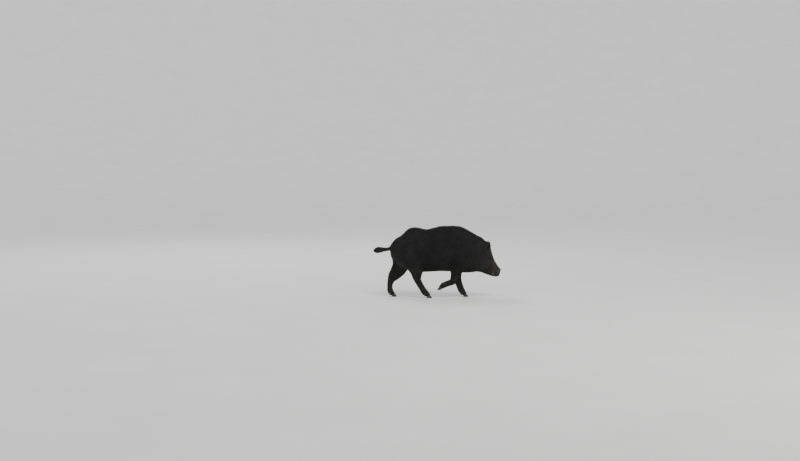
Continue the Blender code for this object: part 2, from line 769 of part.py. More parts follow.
# Legs: each is the part of the body inside its own rounded space.
parts = {}
rest = body
for name, rows in LEG_SPACE.items():
    side = 1 if name.endswith("left") else -1
    block = leg_space("block", rows, side, 0.0)
    wide = leg_space("block_wide", rows, side, GAP)
    parts[name] = tidy(boolean(rest, block, 'INTERSECT', name))
    cut = tidy(boolean(rest, wide, 'DIFFERENCE', "rest"))
    drop(rest, block, wide)
    rest = cut

# Tail, head and neck: straight thin cuts.
PLANES = (
    ("tail", (-0.556, 0.0, 0.555), (-1.0, 0.0, -0.15), 0.19),
    ("head", (0.445, 0.0, 0.460), (0.93, 0.0, -0.36), 1.2),
    ("neck", (0.300, 0.0, 0.500), (0.97, 0.0, -0.24), 1.6),
)
for name, point, normal, size in PLANES:
    n = np.array(normal) / np.linalg.norm(normal)
    front = slab("front", point, normal, size, True)
    wide = slab("wide", tuple(np.array(point) - n * GAP), normal,
                size + 2 * GAP, True)
    parts[name] = tidy(boolean(rest, front, 'INTERSECT', name))
    cut = tidy(boolean(rest, wide, 'DIFFERENCE', "rest"))
    drop(rest, front, wide)
    rest = cut
rest.name = "trunk"
parts["trunk"] = rest

# Lower jaw: everything under the mouth line, back to the cheek.
MOUTH = ((0.060, -0.030), (0.004, -0.034), (-0.040, -0.040),
         (-0.085, -0.052), (-0.130, -0.062), (-0.158, -0.078),
         (-0.176, -0.110), (-0.182, -0.220), (0.060, -0.220))
jaw_block = prism("jaw_block", MOUTH, 0.2, head_at)
c = np.mean(MOUTH, axis=0)
wide_block = prism("jaw_wide", [(s - GAP if s < 0.05 else s, h + GAP)
                                for s, h in MOUTH], 0.2, head_at)
head = parts["head"]
parts["lower_jaw"] = tidy(boolean(head, jaw_block, 'INTERSECT', "lower_jaw"))
parts["head"] = tidy(boolean(head, wide_block, 'DIFFERENCE', "head"))
drop(head, jaw_block, wide_block)

# Hard pieces, and the seats cut for them.
hard = {}
for side, word in ((1, "left"), (-1, "right")):
    at = head_at(-0.1916, side * 0.0502, 0.064)
    hard["eye_" + word] = egg("eye_" + word, at, (EYE_RADIUS,) * 3,
                              (E1, E2, E3), 2.0, 7, 12)
    hard["ear_" + word] = ear("ear_" + word, side, coat_warm)
    hard["tusk_" + word] = tusk("tusk_" + word, side, ivory)
for foot, (point, pitch, spring, hang) in FEET.items():
    for side, word in ((1, "l"), (-1, "r")):
        n = "hoof_%s_%s" % (foot, word)
        hard[n] = hoof(n, point, pitch, side, horn)
        claw = dewclaw("claw", point, spring, hang, side, horn)
        n = "leg_" + foot
        new = tidy(boolean(parts[n], claw, 'UNION', n))
        drop(parts[n], claw)
        parts[n] = new

# An ear stands on the head: whatever of it would reach inside is cut away.
for word in ("left", "right"):
    wide = grown(parts["head"], GAP)
    n = "ear_" + word
    new = tidy(boolean(hard[n], wide, 'DIFFERENCE', n))
    drop(hard[n], wide)
    hard[n] = new
SEATS = {"head": ("eye_left", "eye_right", "tusk_left", "tusk_right"),
         "lower_jaw": ("tusk_left", "tusk_right")}
for foot in FEET:
    SEATS["leg_" + foot] = tuple(n for n in hard if foot in n)
for name, guests in SEATS.items():
    for guest in guests:
        wide = grown(hard[guest], GAP)
        new = tidy(boolean(parts[name], wide, 'DIFFERENCE', name))
        drop(parts[name], wide)
        parts[name] = new

for name, ob in parts.items():
    ob.name = name
    ob.data.materials.clear()
    warm = name.startswith("leg") or name in ("tail", "lower_jaw")
    ob.data.materials.append(coat_warm if warm else coat)
for name, ob in hard.items():
    ob.name = name
    if name.startswith("eye"):
        ob.data.materials.append(eye_mat)

for ob in bpy.data.objects:
    ob.data.transform(Matrix.Translation((-CENTRE_X, -CENTRE_Y, 0.0)))
    for p in ob.data.polygons:
        p.use_smooth = not ob.name.startswith("hoof")
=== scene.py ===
"""Wild boar: one skin, a coat of solid tufts, eyes, tusks and hooves."""
import math
import bmesh
import bpy
import numpy as np
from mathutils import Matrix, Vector
from mathutils.bvhtree import BVHTree


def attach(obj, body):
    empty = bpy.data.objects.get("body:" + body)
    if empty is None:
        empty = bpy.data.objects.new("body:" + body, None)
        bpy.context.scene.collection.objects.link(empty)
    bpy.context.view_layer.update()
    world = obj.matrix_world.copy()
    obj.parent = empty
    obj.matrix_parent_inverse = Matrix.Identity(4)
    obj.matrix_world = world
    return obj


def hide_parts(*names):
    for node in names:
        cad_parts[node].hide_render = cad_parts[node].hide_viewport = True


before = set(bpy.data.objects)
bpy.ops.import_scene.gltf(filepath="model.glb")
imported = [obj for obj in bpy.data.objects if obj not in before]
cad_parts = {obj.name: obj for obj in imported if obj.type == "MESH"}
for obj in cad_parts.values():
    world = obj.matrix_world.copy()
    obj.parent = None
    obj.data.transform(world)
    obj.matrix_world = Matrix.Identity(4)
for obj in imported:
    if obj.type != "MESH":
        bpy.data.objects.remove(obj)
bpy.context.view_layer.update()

for spare in ("Cube", "Light", "Camera"):
    if spare in bpy.data.objects:
        bpy.data.objects.remove(bpy.data.objects[spare], do_unlink=True)

RNG = np.random.default_rng(20417)

# ---------------------------------------------------------------- the design
CENTRE_X = -0.0105       # as in the solids: the design's middle
SHIFT = np.array((-CENTRE_X, 0.0, 0.0))
HEAD_PITCH = math.radians(38.0)       # the head's long axis, below level
NOSE = (0.702, 0.0, 0.282)            # centre of the snout disc
DISC_TURN = 0.38         # how much steeper the disc stands than the head's sections

EYE_RADIUS = 0.0125
HOOF_LENGTH = 0.056
HOOF_HEIGHT = 0.034
HOOF_WIDTH = 0.025
DEWCLAW_LENGTH = 0.030
# Trunk and neck, from rump to throat.  Station along X, top, bottom, half
# width, squareness, narrowing towards the top.
TRUNK = (
    (-0.522, 0.632, 0.440, 0.064, 2.0, 0.10),
    (-0.480, 0.667, 0.385, 0.098, 2.0, 0.10),
    (-0.410, 0.725, 0.345, 0.120, 2.1, 0.12),
    (-0.350, 0.784, 0.322, 0.132, 2.1, 0.16),
    (-0.290, 0.805, 0.305, 0.138, 2.1, 0.18),
    (-0.220, 0.799, 0.294, 0.141, 2.1, 0.18),
    (-0.140, 0.779, 0.293, 0.146, 2.1, 0.18),
    (-0.060, 0.795, 0.298, 0.153, 2.1, 0.22),
    (0.020, 0.814, 0.302, 0.158, 2.1, 0.26),
    (0.100, 0.817, 0.301, 0.160, 2.1, 0.30),
    (0.180, 0.819, 0.296, 0.158, 2.05, 0.32),
    (0.260, 0.810, 0.288, 0.150, 2.05, 0.32),
    (0.330, 0.776, 0.285, 0.137, 2.0, 0.28),
    (0.400, 0.737, 0.290, 0.122, 2.0, 0.22),
    (0.455, 0.704, 0.302, 0.106, 2.0, 0.16),
)
# Head, from the back of the skull to the snout disc, along its own axis.
HEAD = (
    (-0.370, 0.181, -0.135, 0.086, 2.0, 0.14),
    (-0.325, 0.200, -0.136, 0.088, 2.0, 0.16),
    (-0.280, 0.184, -0.134, 0.086, 2.0, 0.14),
    (-0.240, 0.153, -0.132, 0.081, 2.05, 0.08),
    (-0.200, 0.123, -0.128, 0.073, 2.1, 0.03),
    (-0.160, 0.095, -0.121, 0.061, 2.15, 0.03),
    (-0.120, 0.074, -0.111, 0.050, 2.2, 0.08),
    (-0.080, 0.060, -0.095, 0.044, 2.25, 0.10),
    (-0.048, 0.051, -0.071, 0.042, 2.3, 0.08),
    (-0.024, 0.046, -0.061, 0.038, 2.3, 0.05),
    (-0.010, 0.046, -0.054, 0.038, 2.3, 0.02),
    (0.000, 0.048, -0.051, 0.042, 2.3, 0.00),
)
# Limb lines.  x, y, z, half width across, thickness to the front, to the back.
HIND_LEFT = (
    (-0.400, 0.055, 0.600, 0.085, 0.105, 0.115),
    (-0.400, 0.075, 0.500, 0.075, 0.110, 0.130),
    (-0.405, 0.085, 0.410, 0.062, 0.090, 0.128),
    (-0.440, 0.082, 0.322, 0.050, 0.079, 0.086),
    (-0.492, 0.075, 0.255, 0.037, 0.064, 0.054),
    (-0.541, 0.068, 0.200, 0.030, 0.045, 0.040),
    (-0.557, 0.064, 0.145, 0.025, 0.033, 0.032),
    (-0.558, 0.061, 0.100, 0.024, 0.032, 0.031),
    (-0.553, 0.060, 0.068, 0.027, 0.033, 0.035),
    (-0.538, 0.060, 0.045, 0.026, 0.029, 0.031),
    (-0.524, 0.060, 0.032, 0.025, 0.024, 0.025),
)
HOCK_LEFT = (
    (-0.486, 0.078, 0.380, 0.032, 0.034, 0.034),
    (-0.529, 0.073, 0.305, 0.023, 0.024, 0.023),
    (-0.556, 0.070, 0.252, 0.019, 0.022, 0.020),
    (-0.556, 0.067, 0.205, 0.020, 0.022, 0.022),
)
HIND_RIGHT = (
    (-0.400, -0.055, 0.600, 0.085, 0.105, 0.115),
    (-0.345, -0.078, 0.500, 0.075, 0.110, 0.125),
    (-0.284, -0.092, 0.405, 0.062, 0.084, 0.106),
    (-0.247, -0.098, 0.320, 0.052, 0.066, 0.075),
    (-0.246, -0.098, 0.262, 0.038, 0.052, 0.052),
    (-0.241, -0.097, 0.212, 0.031, 0.040, 0.041),
    (-0.217, -0.094, 0.162, 0.026, 0.036, 0.036),
    (-0.186, -0.091, 0.110, 0.026, 0.034, 0.035),
    (-0.160, -0.090, 0.071, 0.028, 0.036, 0.037),
    (-0.136, -0.090, 0.048, 0.027, 0.031, 0.033),
    (-0.120, -0.090, 0.034, 0.025, 0.024, 0.026),
)
HOCK_RIGHT = (
    (-0.345, -0.090, 0.370, 0.032, 0.034, 0.034),
    (-0.303, -0.095, 0.305, 0.023, 0.024, 0.022),
    (-0.282, -0.097, 0.252, 0.019, 0.022, 0.021),
    (-0.256, -0.097, 0.210, 0.020, 0.022, 0.022),
)
FORE_LEFT = (
    (0.235, 0.050, 0.520, 0.070, 0.105, 0.105),
    (0.212, 0.078, 0.420, 0.062, 0.094, 0.095),
    (0.200, 0.084, 0.340, 0.052, 0.078, 0.078),
    (0.214, 0.079, 0.270, 0.042, 0.060, 0.057),
    (0.222, 0.070, 0.215, 0.036, 0.046, 0.045),
    (0.232, 0.062, 0.172, 0.033, 0.042, 0.042),
    (0.249, 0.054, 0.122, 0.028, 0.039, 0.037),
    (0.267, 0.048, 0.080, 0.029, 0.038, 0.038),
    (0.286, 0.045, 0.054, 0.028, 0.032, 0.034),
    (0.303, 0.045, 0.035, 0.025, 0.025, 0.026),
)
FORE_RIGHT = (
    (0.235, -0.050, 0.520, 0.070, 0.105, 0.105),
    (0.215, -0.080, 0.425, 0.062, 0.090, 0.092),
    (0.208, -0.088, 0.350, 0.052, 0.072, 0.074),
    (0.194, -0.088, 0.280, 0.042, 0.055, 0.054),
    (0.178, -0.085, 0.225, 0.036, 0.044, 0.042),
    (0.158, -0.082, 0.188, 0.032, 0.040, 0.037),
    (0.115, -0.078, 0.169, 0.027, 0.034, 0.033),
    (0.074, -0.076, 0.152, 0.028, 0.034, 0.034),
    (0.050, -0.075, 0.139, 0.028, 0.030, 0.031),
    (0.029, -0.075, 0.123, 0.025, 0.024, 0.025),
)
TAIL = (
    (-0.490, 0.000, 0.590, 0.040, 0.045, 0.045),
    (-0.530, 0.000, 0.567, 0.024, 0.032, 0.032),
    (-0.565, 0.000, 0.556, 0.016, 0.022, 0.022),
    (-0.605, 0.000, 0.551, 0.016, 0.022, 0.022),
    (-0.640, 0.000, 0.549, 0.018, 0.027, 0.027),
    (-0.680, 0.000, 0.545, 0.023, 0.037, 0.037),
    (-0.710, 0.000, 0.540, 0.019, 0.033, 0.033),
    (-0.729, 0.000, 0.536, 0.014, 0.021, 0.021),
)
# Each foot: point between the two main hooves on the sole, toe-down pitch,
# then where its dewclaws spring from that point (x, z) and which way they hang.
# The dewclaws are joined to the legs they grow from.
FEET = {
    "hind_left": ((-0.508, 0.060, 0.000), 0.0, (-0.048, 0.048), (-0.27, -0.96)),
    "hind_right": ((-0.104, -0.090, 0.000), 0.0,
                   (-0.050, 0.050), (-0.30, -0.95)),
    "front_left": ((0.319, 0.045, 0.000), 0.0, (-0.050, 0.050), (-0.27, -0.96)),
    "front_right": ((0.003, -0.075, 0.118), math.radians(135.0),
                    (0.058, 0.049), (-0.99, 0.09)),
}
E1 = np.array((math.cos(HEAD_PITCH), 0.0, -math.sin(HEAD_PITCH)))
E2 = np.array((0.0, 1.0, 0.0))
E3 = np.array((math.sin(HEAD_PITCH), 0.0, math.cos(HEAD_PITCH)))
NOSE = np.array(NOSE)


def head_at(s, y, h):
    """A point s along the head's axis (+ past the nose), y left, h up."""
    return NOSE + s * E1 + y * E2 + h * E3


def curve(xs, ys, q):
    """Smooth curve through the rows (xs, ys), read at q."""
    xs = np.asarray(xs, float)
    ys = np.asarray(ys, float)
    h = (xs[1:] - xs[:-1])[:, None]
    d = (ys[1:] - ys[:-1]) / h
    m = np.empty_like(ys)
    m[1:-1] = (d[:-1] * h[1:] + d[1:] * h[:-1]) / (h[1:] + h[:-1])
    m[0], m[-1] = d[0], d[-1]
    q = np.clip(q, xs[0], xs[-1])
    i = np.clip(np.searchsorted(xs, q, side="right") - 1, 0, len(xs) - 2)
    w = (xs[i + 1] - xs[i])[:, None]
    t = (q - xs[i])[:, None] / w
    t2, t3 = t * t, t * t * t
    return ((2 * t3 - 3 * t2 + 1) * ys[i] + (t3 - 2 * t2 + t) * w * m[i]
            + (-2 * t3 + 3 * t2) * ys[i + 1] + (t3 - t2) * w * m[i + 1])


def turned(s, h):
    """Place along the head, its sections standing steeper at the snout."""
    t = np.clip((s + 0.090) / 0.075, 0, 1)
    return s + DISC_TURN * h * t * t * (3 - 2 * t)


class Slices:
    """Cross-sections along a straight axis."""

    def __init__(self, rows, origin, axis, up, caps, blend, turn=None):
        rows = np.array(rows, float)
        self.s, self.rows, self.turn = rows[:, 0], rows[:, 1:], turn
        self.o, self.e1, self.e3 = np.array(origin), axis, up
        self.caps, self.k = caps, blend
        pts = []
        for s, top, bot, w in rows[:, :4]:
            for h in (top, bot):
                for y in (-w, w):
                    pts.append(self.o + s * axis + h * up + y * E2)
        self.lo, self.hi = np.min(pts, 0), np.max(pts, 0)

    def __call__(self, P):
        Q = P - self.o
        s, y, h = Q @ self.e1, Q[:, 1], Q @ self.e3
        if self.turn:
            s = self.turn(s, h)
        sc = np.clip(s, self.s[0], self.s[-1])
        top, bot, w, p, tp = curve(self.s, self.rows, sc).T
        hc, hh = (top + bot) / 2, (top - bot) / 2
        v = (h - hc) / hh
        w = w * (1 - tp * np.clip(v, -1.3, 1.3))
        over = s - sc
        cap = np.where(over < 0, self.caps[0], self.caps[1])
        r = (np.abs(y / w) ** p + np.abs(v) ** p) ** (2 / p)
        r = np.sqrt(r + (over / cap) ** 2 + 1e-9)
        D = np.sqrt(y * y + (h - hc) ** 2 + over * over)
        return D * (1 - 1 / r)


class Tube:
    """A limb along a bent line."""

    def __init__(self, rows, blend, n=4):
        rows = np.array(rows, float)
        t = np.arange(len(rows), dtype=float)
        q = np.linspace(0, len(rows) - 1, (len(rows) - 1) * n + 1)
        self.pts, self.k = curve(t, rows, q), blend
        r = self.pts[:, 3:].max(1)[:, None]
        self.lo = (self.pts[:, :3] - r).min(0)
        self.hi = (self.pts[:, :3] + r).max(0)

    def __call__(self, P):
        best = np.full(len(P), 9.0)
        for a, b in zip(self.pts[:-1], self.pts[1:]):
            ab = b[:3] - a[:3]
            n2 = ab @ ab
            T = ab / math.sqrt(n2)
            L = E2 - T * T[1]
            L /= np.linalg.norm(L)
            F = np.cross(T, L)
            t = np.clip((P - a[:3]) @ ab / n2, 0, 1)
            D = P - (a[:3] + t[:, None] * ab)
            rad = a[3:] + t[:, None] * (b[3:] - a[3:])
            u, v, w = D @ L, D @ F, D @ T
            fb = np.where(v > 0, rad[:, 1], rad[:, 2])
            c = np.minimum(rad[:, 0], fb)
            r = np.sqrt((u / rad[:, 0]) ** 2 + (v / fb) ** 2
                        + (w / c) ** 2 + 1e-12)
            best = np.minimum(best, np.sqrt(u * u + v * v + w * w)
                              * (1 - 1 / r))
        return best


class Blob:
    """An ellipsoid, in the frame of three given axes."""

    def __init__(self, centre, radii, axes, blend, hollow=False):
        self.c, self.r = np.array(centre, float), np.array(radii, float)
        self.R, self.k, self.hollow = np.array(axes, float), blend, hollow
        big = self.r.max()
        self.lo, self.hi = self.c - big, self.c + big

    def __call__(self, P):
        Q = (P - self.c) @ self.R.T
        r = np.sqrt(((Q / self.r) ** 2).sum(1) + 1e-12)
        return np.sqrt((Q * Q).sum(1)) * (1 - 1 / r)


def smooth_min(a, b, k):
    h = np.clip(0.5 + 0.5 * (b - a) / k, 0, 1)
    return b + (a - b) * h - k * h * (1 - h)


def lean(angle, turn=0.0):
    """Axes leaned by angle below level along X and turned about Z."""
    cl, sl, ct, st = (math.cos(angle), math.sin(angle),
                      math.cos(turn), math.sin(turn))
    a = np.array((cl * ct, cl * st, -sl))
    n = np.array((sl * ct, sl * st, cl))
    return a, np.cross(n, a), n


def make_forms():
    head_axes = (E1, E2, E3)
    forms = [
        Slices(TRUNK, (0, 0, 0), np.array((1.0, 0, 0)),
               np.array((0, 0, 1.0)), (0.032, 0.09), 0.05),
        Slices(HEAD, NOSE, E1, E3, (0.09, 0.013), 0.045, turned),
    ]
    for side in (1, -1):
        # shoulder blade and upper arm, round of the rump
        forms.append(Blob((0.215, side * 0.082, 0.500), (0.20, 0.072, 0.115),
                          lean(math.radians(62)), 0.05))
        forms.append(Blob((-0.395, side * 0.066, 0.555), (0.14, 0.075, 0.13),
                          lean(math.radians(20)), 0.05))
        # cheek with its beard, brow, lip over the tusk
        forms.append(Blob(head_at(-0.215, side * 0.052, -0.030),
                          (0.085, 0.046, 0.085), head_axes, 0.03))
        forms.append(Blob(head_at(-0.203, side * 0.046, 0.087),
                          (0.036, 0.013, 0.011), head_axes, 0.035))
        forms.append(Blob(head_at(-0.062, side * 0.036, -0.020),
                          (0.036, 0.016, 0.022), head_axes, 0.014))
    forms += [
        Tube(HIND_LEFT, 0.045), Tube(HOCK_LEFT, 0.018),
        Tube(HIND_RIGHT, 0.045), Tube(HOCK_RIGHT, 0.018),
        Tube(FORE_LEFT, 0.04), Tube(FORE_RIGHT, 0.04),
        Tube(TAIL, 0.02),
    ]
    # hollow in front of each eye, and the eye's own bay
    for side in (1, -1):
        forms.append(Blob(head_at(-0.160, side * 0.074, 0.050),
                          (0.040, 0.015, 0.018), head_axes, 0.025, True))
    return forms


FORMS = make_forms()


def field(P):
    """Below zero inside the body, about the distance to it outside."""
    out = np.full(len(P), 9.0)
    for f in FORMS:
        m = 0.10
        near = np.all((P > f.lo - m) & (P < f.hi + m), axis=1)
        if not near.any():
            continue
        d = f(P[near])
        if f.hollow if isinstance(f, Blob) else False:
            out[near] = -smooth_min(-out[near], d, f.k)
        else:
            out[near] = smooth_min(out[near], d, f.k)
    return out


def surface_net(fun, lo, hi, h):
    """The form's surface as a net of quads: one point per crossed cell."""
    lo, hi = np.array(lo, float), np.array(hi, float)
    n = np.ceil((hi - lo) / h).astype(int) + 1
    xs, ys, zs = (lo[i] + h * np.arange(n[i]) for i in range(3))
    F = np.empty(n)
    Y, Z = np.meshgrid(ys, zs, indexing="ij")
    for i, x in enumerate(xs):
        P = np.stack((np.full(Y.size, x), Y.ravel(), Z.ravel()), 1)
        F[i] = fun(P).reshape(Y.shape)
    inside = F < 0
    total = np.zeros(tuple(n - 1) + (3,))
    count = np.zeros(tuple(n - 1))

    def part(A, o):
        return A[o[0]:n[0] - 1 + o[0], o[1]:n[1] - 1 + o[1],
                 o[2]:n[2] - 1 + o[2]]

    for axis in range(3):
        for b in (0, 1):
            for c in (0, 1):
                o0 = [0, 0, 0]
                o0[(axis + 1) % 3], o0[(axis + 2) % 3] = b, c
                o1 = list(o0)
                o1[axis] = 1
                fa, fb = part(F, o0), part(F, o1)
                cross = part(inside, o0) != part(inside, o1)
                t = np.where(cross, fa / np.where(cross, fa - fb, 1.0), 0.0)
                for k in range(3):
                    total[..., k] += cross * (t if k == axis else o0[k])
                count += cross
    active = count > 0
    index = np.full(active.shape, -1)
    index[active] = np.arange(active.sum())
    cells = np.argwhere(active)
    V = lo + h * (cells + total[active] / count[active][:, None])
    faces = []
    for axis in range(3):
        u, v = (axis + 1) % 3, (axis + 2) % 3
        a = [slice(None)] * 3
        b = [slice(None)] * 3
        a[axis], b[axis] = slice(0, -1), slice(1, None)
        ia, ib = inside[tuple(a)], inside[tuple(b)]
        for p in np.argwhere(ia != ib):
            if p[u] == 0 or p[v] == 0:
                continue
            q = [tuple(p), None, None, None]
            for k, (du, dv) in enumerate(((0, 0), (1, 0), (1, 1), (0, 1))):
                r = p.copy()
                r[u] -= du
                r[v] -= dv
                q[k] = index[tuple(r)]
            if not ia[tuple(p)]:
                q.reverse()
            faces.append(q)
    return V, faces



# The mouth line from under the disc back to its corner, along s and h.
MOUTH = np.array(((0.012, -0.036), (-0.006, -0.037), (-0.040, -0.042),
                  (-0.085, -0.053), (-0.130, -0.063), (-0.152, -0.074),
                  (-0.166, -0.090)))


def smooth_max(a, b, k):
    return -smooth_min(-a, -b, k)


def step(a, b, x):
    t = np.clip((x - a) / (b - a), 0, 1)
    return t * t * (3 - 2 * t)


def table(x, rows):
    r = np.array(rows, float)
    return np.interp(x, r[:, 0], r[:, 1])


def unit(V):
    return V / np.maximum(np.linalg.norm(V, axis=1), 1e-9)[:, None]


EYE_AT = {k: head_at(-0.1916, k * 0.0502, 0.064) for k in (1, -1)}


def head_coords(P):
    Q = P - NOSE
    h = Q @ E3
    return turned(Q @ E1, h), Q[:, 1], h


# ------------------------------------------------------------ coat by region
TRUNK_ROWS = np.array(TRUNK)
HEAD_ROWS = np.array(HEAD)


def regions(P):
    """Soft masks over the body, each 0 to 1."""
    x, y, z = P[:, 0], P[:, 1], P[:, 2]
    s, _, h = head_coords(P)
    top, bot = curve(TRUNK_ROWS[:, 0], TRUNK_ROWS[:, 1:3],
                     np.clip(x, -0.53, 0.455)).T
    v = (z - (top + bot) / 2) / ((top - bot) / 2)
    top, bot = curve(HEAD_ROWS[:, 0], HEAD_ROWS[:, 1:3],
                     np.clip(s, -0.37, 0.0)).T
    vh = (h - (top + bot) / 2) / ((top - bot) / 2)
    front = step(0.42, 0.50, x)
    v = v * (1 - front) + vh * front
    ahead = step(0.40, 0.47, x)
    face = step(-0.345, -0.255, s) * ahead
    leg = step(0.315, 0.225, z) * (1 - ahead)
    foot = step(0.085, 0.045, z) * leg
    lifted = (x < 0.12) & (x > -0.03) & (y < -0.03) & (z < 0.22)
    foot = np.maximum(foot, np.where(lifted, step(0.165, 0.12, z), 0.0))
    tail = step(-0.540, -0.572, x) * step(0.45, 0.50, z) \
        * step(0.062, 0.050, np.abs(y))
    beard = np.exp(-((s + 0.235) / 0.070) ** 2
                   - ((h + 0.085) / 0.055) ** 2) * ahead
    return {"v": v, "s": s, "h": h, "face": face, "front": front,
            "muzzle": step(-0.17, -0.10, s) * ahead,
            "disc": step(-0.018, -0.010, s) * ahead,
            "crest": np.exp(-(y / 0.050) ** 2) * step(0.35, 0.95, v),
            "tail": tail, "leg": leg, "foot": foot, "beard": beard,
            "belly": step(-0.60, -0.98, v) * (1 - leg) * (1 - face)}


def mane_height(x):
    return table(x, ((-0.55, 0.003), (-0.40, 0.005), (-0.25, 0.008),
                     (-0.14, 0.011), (-0.06, 0.021), (0.05, 0.030),
                     (0.22, 0.032), (0.34, 0.030), (0.46, 0.025),
                     (0.55, 0.013), (0.61, 0.0)))


def coat_depth(P, R=None):
    """How far the skin lies inside the coat's tips."""
    R = R or regions(P)
    x = P[:, 0]
    mane = mane_height(x) * R["crest"]
    side = table(x, ((-0.55, 0.009), (-0.35, 0.011), (-0.10, 0.013),
                     (0.10, 0.015), (0.35, 0.016), (0.50, 0.013)))
    d = (side + mane) * (1 - R["face"]) + R["face"] * (
        table(R["s"], ((-0.34, 0.012), (-0.27, 0.0070), (-0.20, 0.0042),
                       (-0.12, 0.0030), (-0.05, 0.0022), (-0.02, 0.0010),
                       (-0.012, 0.0))) + 0.008 * R["beard"] + mane)
    for eye in EYE_AT.values():
        d = d * (1 - 0.75 * np.exp(-((P - eye) ** 2).sum(1) / 0.030 ** 2))
    d = d * (1 - R["leg"]) + R["leg"] * table(
        P[:, 2], ((0.02, 0.0022), (0.08, 0.0030), (0.16, 0.0040),
                  (0.30, 0.0080)))
    d = d * (1 - R["foot"]) + 0.0022 * R["foot"]
    t = table(x, ((-0.73, 0.007), (-0.68, 0.010), (-0.64, 0.008),
                  (-0.60, 0.005), (-0.55, 0.008)))
    return d * (1 - R["tail"]) + t * R["tail"]


def inner_field(P):
    f = field(P)
    m = (f > -0.085) & (f < 0.012)
    if m.any():
        f[m] += coat_depth(P[m])
    return f


def value_and_gradient(f, P, e=0.0007):
    k = np.array(((1, -1, -1), (-1, -1, 1), (-1, 1, -1), (1, 1, 1)), float)
    g, total = 0.0, 0.0
    for v in k:
        d = f(P + v * e)
        g = g + v * d[:, None]
        total = total + d
    return total / 4, g / (4 * e)


def newton(f, V, mask=None, rounds=2, most=0.003):
    mask = np.ones(len(V), bool) if mask is None else mask
    if not mask.any():
        return V
    for _ in range(rounds):
        P = V[mask]
        d, g = value_and_gradient(f, P)
        g2 = np.maximum((g * g).sum(1), 0.2)
        V[mask] = P - np.clip(d / g2, -most, most)[:, None] * g
    return V


# ------------------------------------------------------------------ the ears
class Ear:
    """A curled leaf, hollow to the front, and the distance to its skin."""

    def __init__(self, side):
        self.side = side
        self.base = np.array((0.543, side * 0.062, 0.520))
        tip = np.array((0.5885, side * 0.1055, 0.645))
        axis = tip - self.base
        self.length = np.linalg.norm(axis)
        self.T = axis / self.length
        front = np.array((0.70, side * 0.72, 0.0))
        N = front - self.T * (front @ self.T)
        self.N = N / np.linalg.norm(N)
        self.S = np.cross(self.N, self.T)
        rows, cols = 25, 21
        V, F = [], []
        for i in range(rows):
            t = -0.10 + 1.10 * i / (rows - 1)
            for j in range(cols):
                V.append(self.point(t, -1 + 2 * j / (cols - 1)))
        for i in range(rows - 1):
            for j in range(cols - 1):
                a = i * cols + j
                F.append((a, a + 1, a + cols + 1, a + cols))
        self.rows, self.cols, self.V = rows, cols, np.array(V)
        self.tree = BVHTree.FromPolygons([Vector(p) for p in V], F)
        self.lo, self.hi = self.V.min(0) - 0.035, self.V.max(0) + 0.035

    def half(self, t):
        t = min(max(t, 0.0), 1.0)
        return 0.0345 * (math.sin(math.pi * (0.30 + 0.70 * t)) ** 0.8) \
            * (1 - t ** 4.6) + 0.0014

    def point(self, t, v, out=0.0):
        curl = 1.30 * (1 - 0.55 * max(t, 0.0))
        r = self.half(t) / math.sin(curl)
        a = v * curl
        roll = 0.0016 * math.sin(7.0 * t + 1.7 * v) * abs(v)
        n = self.S * math.sin(a) - self.N * math.cos(a)
        return (self.base + self.T * (t * self.length)
                + self.S * (r * math.sin(a))
                + self.N * (r * (math.cos(curl) - math.cos(a)) + roll)
                + n * (0.0026 + out))

    def place(self, P):
        """Along and across the leaf, in its own measure."""
        t = (P - self.base) @ self.T / self.length
        h = np.interp(np.clip(t, 0, 1), np.linspace(0, 1, 21),
                      [self.half(k / 20) for k in range(21)])
        return t, ((P - self.base) @ self.S) / h

    def thickness(self, P):
        t, v = self.place(P)
        return 0.0012 + 0.0022 * (1.25 - np.clip(t, 0, 1)) \
            * (1 - 0.55 * np.clip(np.abs(v), 0, 1))

    def __call__(self, P):
        near = np.empty((len(P), 3))
        far = np.empty(len(P))
        find = self.tree.find_nearest
        for i, p in enumerate(P.tolist()):
            q, _, _, d = find(p)
            near[i] = q
            far[i] = d
        return far - self.thickness(near)

    def thick_leaf(self, grow):
        """A closed leaf thick enough for the coarse remesh to catch."""
        rows, cols = 14, 11
        V, F = [], []
        for s in (1, -1):
            for i in range(rows):
                t = -0.06 + 1.04 * i / (rows - 1)
                for j in range(cols):
                    V.append(self.point(t, -1 + 2 * j / (cols - 1), s * grow))
        m = rows * cols
        for i in range(rows - 1):
            for j in range(cols - 1):
                a = i * cols + j
                F.append((a, a + 1, a + cols + 1, a + cols))
                F.append((m + a, m + a + cols, m + a + cols + 1, m + a + 1))
            for j in (0, cols - 1):
                a = i * cols + j
                F.append((a, a + cols, m + a + cols, m + a))
        for i in (0, rows - 1):
            for j in range(cols - 1):
                a = i * cols + j
                F.append((a, m + a, m + a + 1, a + 1))
        return V, F


EARS = (Ear(1), Ear(-1))


# ------------------------------------------------------- eyes, snout, mouth
def eye_axes(side):
    """Outward, forward and upward directions of an eye's opening."""
    out = E2 * side * 0.86 + E3 * 0.40 + E1 * 0.32
    out = out / np.linalg.norm(out)
    fwd = E1 * 0.99 + E3 * 0.12
    fwd = fwd - out * (fwd @ out)
    fwd = fwd / np.linalg.norm(fwd)
    up = np.cross(out, fwd)
    if up @ E3 < 0:
        up = -up
    return out, fwd, up


def eye_coords(P, side):
    Q = P - EYE_AT[side]
    out, fwd, up = eye_axes(side)
    return Q @ fwd, Q @ up, Q @ out


LID_HALF, LID_RISE, LID_DROP = 0.0112, 0.0062, 0.0048


